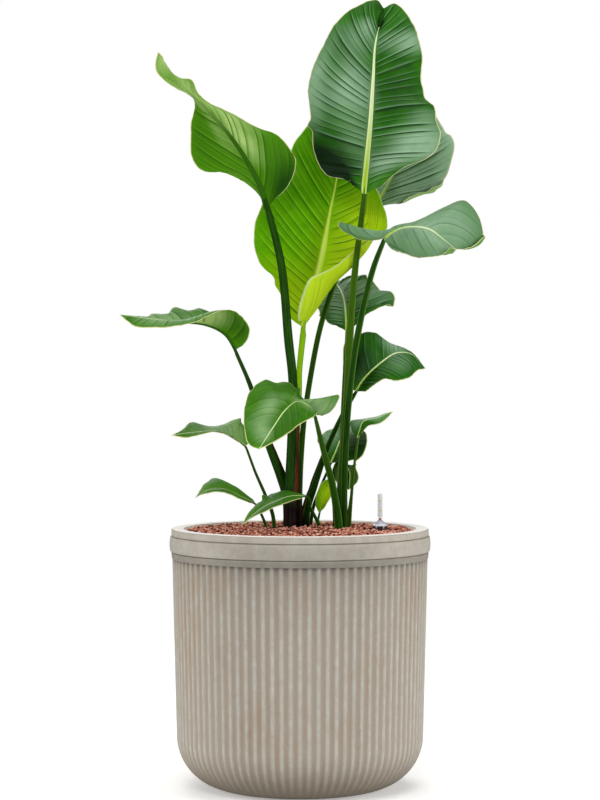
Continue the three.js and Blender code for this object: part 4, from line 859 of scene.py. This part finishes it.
def stalkShape(number, rails, look):
    form = stalkForm
    footX, footY, _, footRadius = rails["stalk"][0]
    middle, heading, edges, _ = bladeFrame(rails, np.array([0.0, 0.06, 0.25]))
    up = unit(np.cross(edges["right"][2] - edges["left"][2], heading[0]))
    neck = rails["neck"]
    # it comes up under the blade's base and thins out inside its keel
    end = middle[0] - heading[0] * 1.5 - up * neck * 0.75
    stem = unit(middle[0] - np.array(rails["stalk"][-1][:3], float))
    approach = middle[0] - unit(heading[0] + 2 * stem) * form["neckBend"] - up * neck * 0.9
    inside = middle[1] - up * neck * 0.7
    stops = np.array([(footX, footY, form["foot"], footRadius), (footX, footY, form["bend"], footRadius),
                      *rails["stalk"], (*approach, neck * 1.1), (*end, neck), (*inside, neck * 0.55)], float)
    spans = len(stops) - 1
    rings = spans * form["ringsPerSpan"] + 1
    share = np.linspace(0, 1, rings)
    centre = curveThrough(stops[:, :3])(share)
    heading = unit(np.gradient(centre, axis=0))
    radius = np.interp(share * spans, np.arange(spans + 1), stops[:, 3])
    # the groove runs down from the blade's upper face and comes round to the front or the back
    facing = np.array([0.0, 1.0 if up[1] > 0 else -1.0, 0.0])
    grooved = facing + (up - facing) * share[:, None] ** 4
    grooved = unit(grooved - heading * (grooved * heading).sum(-1, keepdims=True))
    across = np.cross(heading, grooved)
    turn = np.linspace(-math.pi, math.pi, form["sides"], endpoint=False)
    dip = form["groove"] * np.exp(-(turn / form["grooveWidth"]) ** 2)
    reach = radius[:, None] * form["fuller"] * (1 - dip)[None]
    # the dry margin of its sheath stands out along one side
    dry = np.zeros_like(reach)
    if number in stalkMargins:
        right, low, high, width = stalkMargins[number]
        beside = (across[:, 0] > 0)[:, None] == right
        fin = np.where(beside, *(np.exp(-((turn - quarter) / form["marginWidth"]) ** 2)
                                 for quarter in (math.pi / 2, -math.pi / 2)))
        height = (np.clip((centre[:, 2] - low) / 12, 0, 1)
                  * np.clip((high - centre[:, 2]) / (high - low) * 1.6, 0, 1))
        ragged = 1 + 0.3 * wander(centre[:, 2] / 14, 60 + int(number))
        reach = reach + width * fin * (height * ragged)[:, None]
        dry = np.clip(fin * 1.6, 0, 1) * np.clip(height * 3, 0, 1)[:, None]
    points = (centre[:, None] + grooved[:, None] * (reach * np.cos(turn))[..., None]
              + across[:, None] * (reach * np.sin(turn))[..., None])
    lastRing = (rings - 1) * form["sides"]
    faces = [*gridFaces(rings, form["sides"], closed=True), range(form["sides"])[::-1],
             range(lastRing, lastRing + form["sides"])]
    rise = columnOf(centre[:, 2] - form["granules"], form["sides"])
    brownTop, young = look
    layers = {"turn": np.repeat((turn / math.pi)[None], rings, 0), "rise": rise * 0.004, "dry": dry,
              "brown": np.clip(1.15 - rise / max(brownTop, 1), 0, 1),
              "young": young * np.clip(rise / 150 - 0.3, 0.15, 1)}
    return points.reshape(-1, 3) * mm, faces, layers


rindMaterial = stalkRind()
for number, rails in leafRails.items():
    points, faces, layers = stalkShape(number, rails, stalkLooks.get(number, usualStalk))
    piece = makePiece("stalk" + number, points, faces, rindMaterial, plantBody, "stalk", layers)
    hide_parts("stalk_" + number)
print("stalks ready")

planterForm = {
    "base": 117.5, "corner": 86, "ankle": 203.5, "shoulder": 210.5, "bodyTop": 376.6, "ribs": 88,
    "ribDepth": 3, "wall": 5.5, "pointsPerRib": 10, "ribsStart": 0.35,  # as a share of the corner
    "archRows": (372, 374.6), "rimFoot": (210.2, 376.8, 1),
}
# the rim from the body's top up over the lip and down inside: (radius, height), mm, by its part
rimProfile = (
    ("band", [(210.6, 377), (211.1, 377.4), (211.4, 380), (211.8, 384), (212, 386.6), (211.7, 387.2)]),
    ("groove", [(210.6, 387.7), (210.4, 388.1), (210.8, 388.5)]),
    ("band", [(213.0, 388.9), (213.7, 389.5), (214.2, 391.5), (214.8, 396), (215, 401), (214.7, 406),
              (214.1, 411), (213.6, 412.6), (212.8, 413.2)]),
    ("groove", [(210.7, 413.6), (210.4, 414), (210.6, 414.4)]),
    ("band", [(211.6, 414.9), (212, 415.9), (212, 421), (211.9, 423.6), (211.2, 425.1)]),
    ("lip", [(209.8, 425.9), (207.5, 426), (200, 425.9), (194.5, 425.9), (192.2, 425.6)]),
    ("plain", [(190.7, 424.7)]),
    ("inside", [(190.1, 423), (190, 418), (190, 414.6), (190.6, 414), (202, 403.9), (195.3, 86)]),
)
# moulded fibrestone: a chalky grey cast of clay and fibre, worn tan here and there
fibrestone = {
    "crest": "#A5A096", "crestPale": "#B0AEA6", "valley": "#988F82", "tan": "#968069", "band": "#9C958A",
    # painted shade: the underside is darker as the base faces down, away from the lamps. Painted light: the
    # lip's top face and the inside wall are near white, the wall lightened against the lip's shade
    "bandPale": "#A6A197", "lip": "#F6F1EB", "groove": "#7F7567", "underside": "#6C6254",
    "inside": "#F2EDE4", "undersideTop": 85,  # mm
    # grain size in mm, detail and roughness: worn streaks, drawn out upright to four times their
    # width, chalky patches about a rib wide, and the cast's grit, as coarse as it needs to show
    "wear": (12.5, 4, 0.65), "chalk": (18.2, 5, 0.65), "grain": (2.083, 3, 0.7), "streakSquash": 0.25,
}
# where it is worn tan: across, height, its two radii and how strongly, in mm
stains = [(-185, 262, 24, 78, 0.95), (-140, 345, 40, 34, 0.6), (-115, 225, 24, 26, 0.55),
          (-50, 120, 52, 42, 0.85), (78, 112, 28, 34, 0.5), (182, 315, 22, 60, 0.8),
          (120, 200, 30, 60, 0.3), (-10, 330, 50, 40, 0.3)]
# painted light and shade: height in mm, and how much of the colour stays in its middle and on its
# flanks. The body darkens towards the bottom and much more just under the rim, in its shadow, the
# upper band is lighter, and the flanks, which the side lamps light, are lighter than the middle
lightAndShade = np.array([
    (0, 0.88, 1.0), (25, 0.92, 1.05), (90, 0.95, 1.05), (240, 0.95, 1.02), (300, 0.92, 1.0),
    (344, 0.84, 0.95), (367, 0.74, 0.88), (371.5, 0.7, 0.87), (376.7, 0.52, 0.66), (377.1, 0.55, 0.72),
    (384, 0.57, 0.74), (387, 0.74, 0.78), (388.4, 0.82, 0.95), (392, 0.83, 1.1), (407, 0.86, 1.14),
    (416, 1.04, 1.2), (424, 1.04, 1.18), (425.3, 1.0, 1.0)])
lightShadeReach = {"middle": 70, "flank": 170, "archStart": 366, "archHeight": 10, "archShade": 0.4}  # mm


def planterProfile():
    # (radius, height, depth of the ribs) in mm and each row's part, from the middle of the base up
    # the outside, over the lip and down the inside to the floor
    form = planterForm
    base, corner, top = form["base"], form["corner"], form["bodyTop"]
    rows = [(0, 0, 0), (base - 6, 0, 0)]
    for angle in np.arange(33) / 32 * math.pi / 2:
        level = corner * (1 - math.cos(angle))
        rows.append((base + corner * math.sin(angle), level, min(1, level / (corner * form["ribsStart"]))))
    for level in (*np.linspace(corner, top, 40)[1:-1], *form["archRows"]):
        share = (level - corner) / (top - corner)
        rows.append((form["ankle"] + (form["shoulder"] - form["ankle"]) * share, level, 1))
    rows.append(form["rimFoot"])
    parts = ["plain"] * len(rows)
    for part, places in rimProfile:
        rows += [(*place, 0) for place in places]
        parts += [part] * len(places)
    inner = corner - form["wall"]
    for angle in np.arange(15, -1, -1) / 16 * math.pi / 2:
        rows.append((base - form["ribDepth"] + inner * math.sin(angle), corner - inner * math.cos(angle), 0))
    rows.append((0, form["wall"], 0))
    return np.array(rows, float), np.array(parts + ["inside"] * 14 + ["plain"] * 3)


def planterShape():
    form = planterForm
    profile, parts = planterProfile()
    around = form["ribs"] * form["pointsPerRib"]
    turn = np.linspace(0, 2 * math.pi, around, endpoint=False)
    wave = np.cos(turn * form["ribs"])  # 1 on a crest, -1 in a valley
    rounded = (0.5 + 0.5 * wave) ** 1.4  # narrow crests between wide flutes
    radius, level, ribbed = (profile[:, column][:, None] for column in range(3))
    uneven = 0.25 * wander(turn * 9, 7)[None] * wander(level[:, 0] / 40, 8)[:, None]
    reach = radius - form["ribDepth"] * ribbed * (1 - rounded)[None] + (uneven - 0.25) * ribbed
    points = np.stack([reach * np.cos(turn), reach * np.sin(turn), np.repeat(level, around, 1)], -1)
    points[(0, -1), :, :2] = 0
    across, height = points[..., 0], points[..., 2]
    side = np.clip((np.abs(across) - lightShadeReach["middle"]) / (lightShadeReach["flank"] - lightShadeReach["middle"]), 0, 1)
    side = side ** 2 * (3 - 2 * side)
    middle, flank = (np.interp(height, lightAndShade[:, 0], lightAndShade[:, column]) for column in (1, 2))
    # painted shade: the flutes end in dark arches under the rim, which shades their tops
    arch = (lightShadeReach["archShade"] * (1 - rounded) * ribbed
            * np.clip((height - lightShadeReach["archStart"]) / lightShadeReach["archHeight"], 0, 1))
    layers = {"crest": np.repeat(rounded[None], len(profile), 0) * ribbed + (1 - ribbed) * 0.5,
              "stain": sum(strength * np.exp(-((across - x) / wide) ** 2 - ((height - z) / high) ** 2)
                           for x, z, wide, high, strength in stains),
              "lightAndShade": (middle + (flank - middle) * side) * (1 - arch)}
    for layer, shown in (("lip", ["lip"]), ("band", ["band", "groove", "lip"]), ("hollow", ["groove"]),
                         ("inside", ["inside"])):
        layers[layer] = columnOf(np.isin(parts, shown) * 1.0, around)
    return points.reshape(-1, 3) * mm, gridFaces(len(profile), around, closed=True), layers


def fibrestoneMaterial():
    stone = fibrestone
    material, tree, place = newMaterial("moulded fibrestone")
    kept = {layer: addNode(tree, "Attribute", {"attribute_name": layer}).outputs["Fac"]
            for layer in ("crest", "stain", "lightAndShade", "lip", "band", "hollow", "inside")}
    level = addNode(tree, "SeparateXYZ", {0: place}).outputs["Z"]
    upright = addNode(tree, "Mapping", {"Vector": place, "Scale": (1, 1, stone["streakSquash"])})
    wear, chalk, grain = (
        addNode(tree, "TexNoise", {"Vector": where, "Scale": grainScale(size), "Detail": detail,
                                   "Roughness": roughness})
        for where, (size, detail, roughness) in ((upright, stone["wear"]), (place, stone["chalk"]),
                                                 (place, stone["grain"])))
    ramps = {
        "wear": (wear, 0.35, 0.62, 0, 1, "LINEAR"),
        "chalk": (chalk, 0.38, 0.66, 0, 1, "LINEAR"),
        "grain": (grain, 0.3, 0.7, 0.93, 1.05, "LINEAR"),
        "crest": (kept["crest"], 0.05, 0.95, 0, 1, "SMOOTHSTEP"),
        # painted shade: darker towards the bottom, on the underside that faces away from the lamps
        "low": (level, 0, stone["undersideTop"] * mm, 0.95, 0, "SMOOTHSTEP"),
    }
    ramps = {name: addNode(tree, "MapRange", dict(zip(rampSockets, row))) for name, row in ramps.items()}
    # worn through to tan, more in the valleys than on the crests
    amount = addNode(tree, "Math", {"operation": "ADD", 0: kept["stain"], 1: 0.18})
    worn = addNode(tree, "Math", {"operation": "MULTIPLY", 0: ramps["wear"], 1: amount})
    inValley, onCrest = (addNode(tree, "Math", {"operation": "MULTIPLY", 0: worn, 1: share})
                         for share in (0.95, 0.3))
    crest, band = (addNode(tree, "MixRGB", {"Fac": ramps["chalk"], "Color1": stone[part],
                                            "Color2": stone[part + "Pale"]}) for part in ("crest", "band"))
    valley = addNode(tree, "MixRGB", {"Fac": inValley, "Color1": stone["valley"], "Color2": stone["tan"]})
    crest = addNode(tree, "MixRGB", {"Fac": onCrest, "Color1": crest, "Color2": stone["tan"]})
    colour = valley
    # over the valleys: the crests, the underside's painted shade, the bands, the inside and the lip as
    # painted light, and the grooves
    for mask, over in ((ramps["crest"], crest), (ramps["low"], stone["underside"]), (kept["band"], band),
                       (kept["inside"], stone["inside"]), (kept["hollow"], stone["groove"]),
                       (kept["lip"], stone["lip"])):
        colour = addNode(tree, "MixRGB", {"Fac": mask, "Color1": colour, "Color2": over})
    # the painted light and shade by height and side, times the cast's grit
    shade = addNode(tree, "Math", {"operation": "MULTIPLY", 0: ramps["grain"], 1: kept["lightAndShade"]})
    colour = addNode(tree, "MixRGB", {"blend_type": "MULTIPLY", "Fac": 1.0, "Color1": colour,
                                      "Color2": shade})
    relief = addNode(tree, "Math", {"operation": "MULTIPLY_ADD", 0: chalk, 1: 0.7, 2: grain})
    bump = addNode(tree, "Bump", {"Height": relief, "Strength": 0.4, "Distance": 0.8 * mm})
    finishMaterial(tree, {"Base Color": colour, "Roughness": 0.82, "IOR": 1.5, "Specular IOR Level": 0.35,
                          "Normal": bump})
    return material


points, faces, layers = planterShape()
planterPiece = makePiece("ribbedPlanter", points, faces, fibrestoneMaterial(), plantBody, "planter", layers,
                         weld=True)
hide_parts("planter")
print("planter ready")

gaugeForm = {"across": 132, "hole": 13.5}
# expanded clay, fired and broken: matt, porous, red brown, each granule its own tone
firedClay = {"dark": "#32181A", "middle": "#B8664E", "light": "#E8AE98", "bed": "#1C0D0E",
             "pores": 1.429}  # mm, coarser than real pores so that they show
granuleForm = {  # mm
    "radii": (2.2, 3.3), "level": 419, "heap": 4, "heapRadius": 190, "sunk": 0.8, "reach": 186.5,
    "spacing": 5.6, "rowGap": 0.87, "shift": 1.1, "heights": (-3.2, 2.4), "scattered": 900,
    "scatteredHeights": (2.6, 5.2), "stretch": (0.78, 1.15), "tone": (0.82, 0.28), "shade": 1.1,
    # they are pressed down round the gauge, whose bell shows above them: centre, radii, depth
    "press": ((132, -12), (20, 26), 3.6),
}


def clayMaterial(name, loose):
    material, tree, place = newMaterial(name)
    pores = addNode(tree, "TexNoise", {"Vector": place, "Scale": grainScale(firedClay["pores"]), "Detail": 2})
    if loose:
        tone = addNode(tree, "Attribute", {"attribute_name": "tone"}).outputs["Fac"]
        colour, steps = firedClay["dark"], ((tone, 0, 0.5, "middle"), (tone, 0.5, 1, "light"))
    else:
        colour, steps = firedClay["bed"], ((pores, 0.5, 0.8, "dark"),)
    for source, low, high, over in steps:
        mask = addNode(tree, "MapRange", {"Value": source, "From Min": low, "From Max": high})
        colour = addNode(tree, "MixRGB", {"Fac": mask, "Color1": colour, "Color2": firedClay[over]})
    bump = addNode(tree, "Bump", {"Height": pores, "Strength": 0.5, "Distance": 0.5 * mm})
    finishMaterial(tree, {"Base Color": colour, "Roughness": 0.9, "IOR": 1.5, "Specular IOR Level": 0.25,
                          "Normal": bump})
    return material


def pebble():
    ball = bmesh.new()
    bmesh.ops.create_icosphere(ball, subdivisions=1, radius=1)
    points = np.array([point.co[:] for point in ball.verts])
    faces = np.array([[point.index for point in face.verts] for face in ball.faces])
    ball.free()
    return points, faces


def granuleShape():
    form = granuleForm
    holes = [rails["stalk"][0] for rails in leafRails.values()]
    holes.append((gaugeForm["across"], 0, 0, gaugeForm["hole"]))
    rows = int(form["reach"] * 2 / form["spacing"]) + 1
    steps = range(-rows // 2, rows // 2 + 1)
    gap = form["spacing"]
    spots = np.array([((column + 0.5 * (row % 2)) * gap, row * gap * form["rowGap"], 0)
                      for row in steps for column in steps], float)
    spots[:, :2] += dice.normal(0, form["shift"], (len(spots), 2))
    spots[:, 2] = dice.uniform(*form["heights"], len(spots))
    count = form["scattered"]
    angle = dice.uniform(0, 2 * math.pi, count)
    far = form["reach"] * np.sqrt(dice.uniform(0, 1, count))
    height = dice.uniform(*form["scatteredHeights"], count)
    spots = np.concatenate([spots, np.stack([far * np.cos(angle), far * np.sin(angle), height], 1)])
    size = dice.uniform(*form["radii"], len(spots))
    away = np.hypot(spots[:, 0], spots[:, 1])
    keep = away + size < form["reach"] + 3
    for x, y, _, radius in holes:
        keep &= np.hypot(spots[:, 0] - x, spots[:, 1] - y) > radius + size * 0.55
    spots, size, away = spots[keep], size[keep], away[keep]
    share = np.clip(away / form["heapRadius"], 0, 1)
    spots[:, 2] += form["level"] + form["heap"] * (1 - share ** 2) - form["sunk"]
    centre, radii, depth = form["press"]
    spots[:, 2] -= depth * np.exp(-(((spots[:, :2] - centre) / radii) ** 2).sum(-1) ** 2)
    shape, sides = pebble()
    count = len(spots)
    axis = unit(dice.normal(size=(count, 3)))[:, None]
    stretch = dice.uniform(*form["stretch"], (count, 1, 3))
    bumps = 1 + 0.1 * np.sin((shape[None] * dice.uniform(1.5, 3.5, (count, 1, 3))).sum(-1)
                             + dice.uniform(0, 6, (count, 1)))[..., None]
    body = shape[None] * stretch * bumps
    angle = dice.uniform(0, 2 * math.pi, (count, 1, 1))
    body = (body * np.cos(angle) + np.cross(axis, body) * np.sin(angle)
            + axis * (axis * body).sum(-1, keepdims=True) * (1 - np.cos(angle)))
    points = (body * size[:, None, None] + spots[:, None]) * mm
    faces = (sides[None] + (np.arange(count) * len(shape))[:, None, None]).reshape(-1, 3)
    shaded = form["shade"] * np.clip(0.5 - body[..., 2], 0, 1)  # less light reaches down between them
    tone = np.clip(dice.normal(*form["tone"], count)[:, None] - shaded, 0, 1)
    return points.reshape(-1, 3), faces, {"tone": tone}, count


points, faces, layers, granules = granuleShape()
makePiece("clayGranules", points, faces, clayMaterial("fired clay granules", True), plantBody,
          "granulate", layers)
# painted shade: the bed under the granules is dark to stand for the shade between them
bedMaterial = clayMaterial("shaded fired clay bed", False)  # only shows dark between the granules
for holder in bpy.data.objects["granulate"].material_slots:
    holder.material = bedMaterial
print("granules ready:", granules)

# what the clear cap shows by height, mm: the black shaft's collar in the bell, its bright rim, a painted
# highlight on the bell's shoulder, the greyer cone, the tube's foot and the tube (upper end, colour, alpha)
capZones = ((429.4, "#33242B", 0.96), (433.0, "#DCDCE4", 0.9), (438.4, "#B9B8C6", 0.88),
            (443.6, "#A89C90", 0.12), (500, "#E0E0E4", 0.5))


def mouldedMaterial(name, gloss, ior, tint=None, grainSize=1.111):
    # moulded plastic's own grain is too fine to show, so it is drawn at this size in mm and its
    # gloss isn't perfectly even; without a tint it is clear and takes its colour from the zones
    material, tree, place = newMaterial(name)
    grain = addNode(tree, "TexNoise", {"Vector": place, "Scale": grainScale(grainSize)})
    uneven = addNode(tree, "MapRange", {"Value": grain, "To Min": gloss * 0.85, "To Max": gloss * 1.15})
    settings = {"Roughness": uneven, "IOR": ior}
    if tint:
        settings["Base Color"] = tint
    else:
        level = addNode(tree, "SeparateXYZ", {0: place}).outputs["Z"]
        (low, colour, clear), *higher = capZones
        alpha = (clear,) * 3 + (1,)
        for top, zoneTint, clear in higher:
            above = addNode(tree, "MapRange", {"Value": level, "From Min": (low - 0.2) * mm,
                                               "From Max": (low + 0.2) * mm})
            colour, alpha = (addNode(tree, "MixRGB", {"Fac": above, "Color1": under, "Color2": over})
                             for under, over in ((colour, zoneTint), (alpha, (clear,) * 3 + (1,))))
            low = top
        settings.update({"Base Color": colour, "Alpha": alpha})
    finishMaterial(tree, settings)
    return material


gaugeParts = {
    # clear injection-moulded styrene: a bright sleeve that shows the pointer inside
    "gaugeTube": ("gauge_cap", plantBody, "gauge_clear", 48,
                  mouldedMaterial("clear moulded styrene", 0.14, 1.59, grainSize=3.85),
                  [(11.3, 416), (12.3, 416), (12.5, 416.4), (12.5, 429.6), (12.1, 430.9), (10.9, 432.1),
                   (5.6, 436.6), (4.5, 437.8), (4.05, 439.2), (4, 441), (4, 480.2), (3.7, 481.5),
                   (3.0, 482.2), (2.0, 482.5), (0, 482.5), (0, 481.3), (1.6, 481.3), (2.4, 480.9),
                   (2.8, 480), (2.8, 439), (3.3, 438), (11.1, 431), (11.3, 430.4), (11.3, 416)]),
    # black polypropylene: a soft satin, hidden in the granules but for its shoulder
    "gaugeShaft": ("gauge_shaft", plantBody, "gauge_dark", 48,
                   mouldedMaterial("black polypropylene", 0.5, 1.49, "#221C1B"),
                   [(4, 16), (10.4, 16), (10.8, 16.5), (10.8, 428.2), (10.2, 429), (2.7, 429),
                    (2.4, 428.7), (2.4, 426), (8.8, 426), (8.8, 19), (4, 19), (4, 16)]),
    # red polystyrene float, its rod and its ball
    "gaugePointer": ("gauge_float", floatBody, "gauge_red", 32,
                     mouldedMaterial("red moulded polystyrene", 0.38, 1.5, "#C43406"),
                     [(0, 19.35), (6.4, 19.35), (7, 20), (7, 63.6), (6.2, 64.6), (1.1, 69.35),
                      (1.1, 438.7), (1.7, 439.2), (2.1, 440.1), (2.1, 441), (1.7, 441.9), (0.9, 442.5),
                      (0, 442.6)]),
}
for name, (node, body, slot, segments, material, profile) in gaugeParts.items():
    points, faces = turnedShape(profile, segments, (gaugeForm["across"] * mm, 0.0))
    piece = makePiece(name, points, faces, material, body, slot, weld=True)
    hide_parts(node)

# two level marks of yellow screen ink, half matt, printed on the front of the tube: their heights
# and the corners of their section, mm
markForm = {"levels": (471.0, 455.6), "corners": ((4.03, -1), (4.28, -1), (4.28, 1), (4.03, 1)),
            "angles": np.radians(np.linspace(-118, -62, 9))}
points, faces = [], []
for level in markForm["levels"]:
    start = len(points)
    points += [(gaugeForm["across"] + deep * math.cos(angle), deep * math.sin(angle), level + up)
               for angle in markForm["angles"] for deep, up in markForm["corners"]]
    last = len(points) - 4
    faces += [*gridFaces(len(markForm["angles"]), 4, start, closed=True), range(start, start + 4),
              range(last, last + 4)]
ink = mouldedMaterial("printed yellow ink", 0.5, 1.5, "#DCCA72")
makePiece("gaugeMarks", np.array(points) * mm, faces, ink, plantBody, "gauge_clear", weld=True)
print("gauge ready")
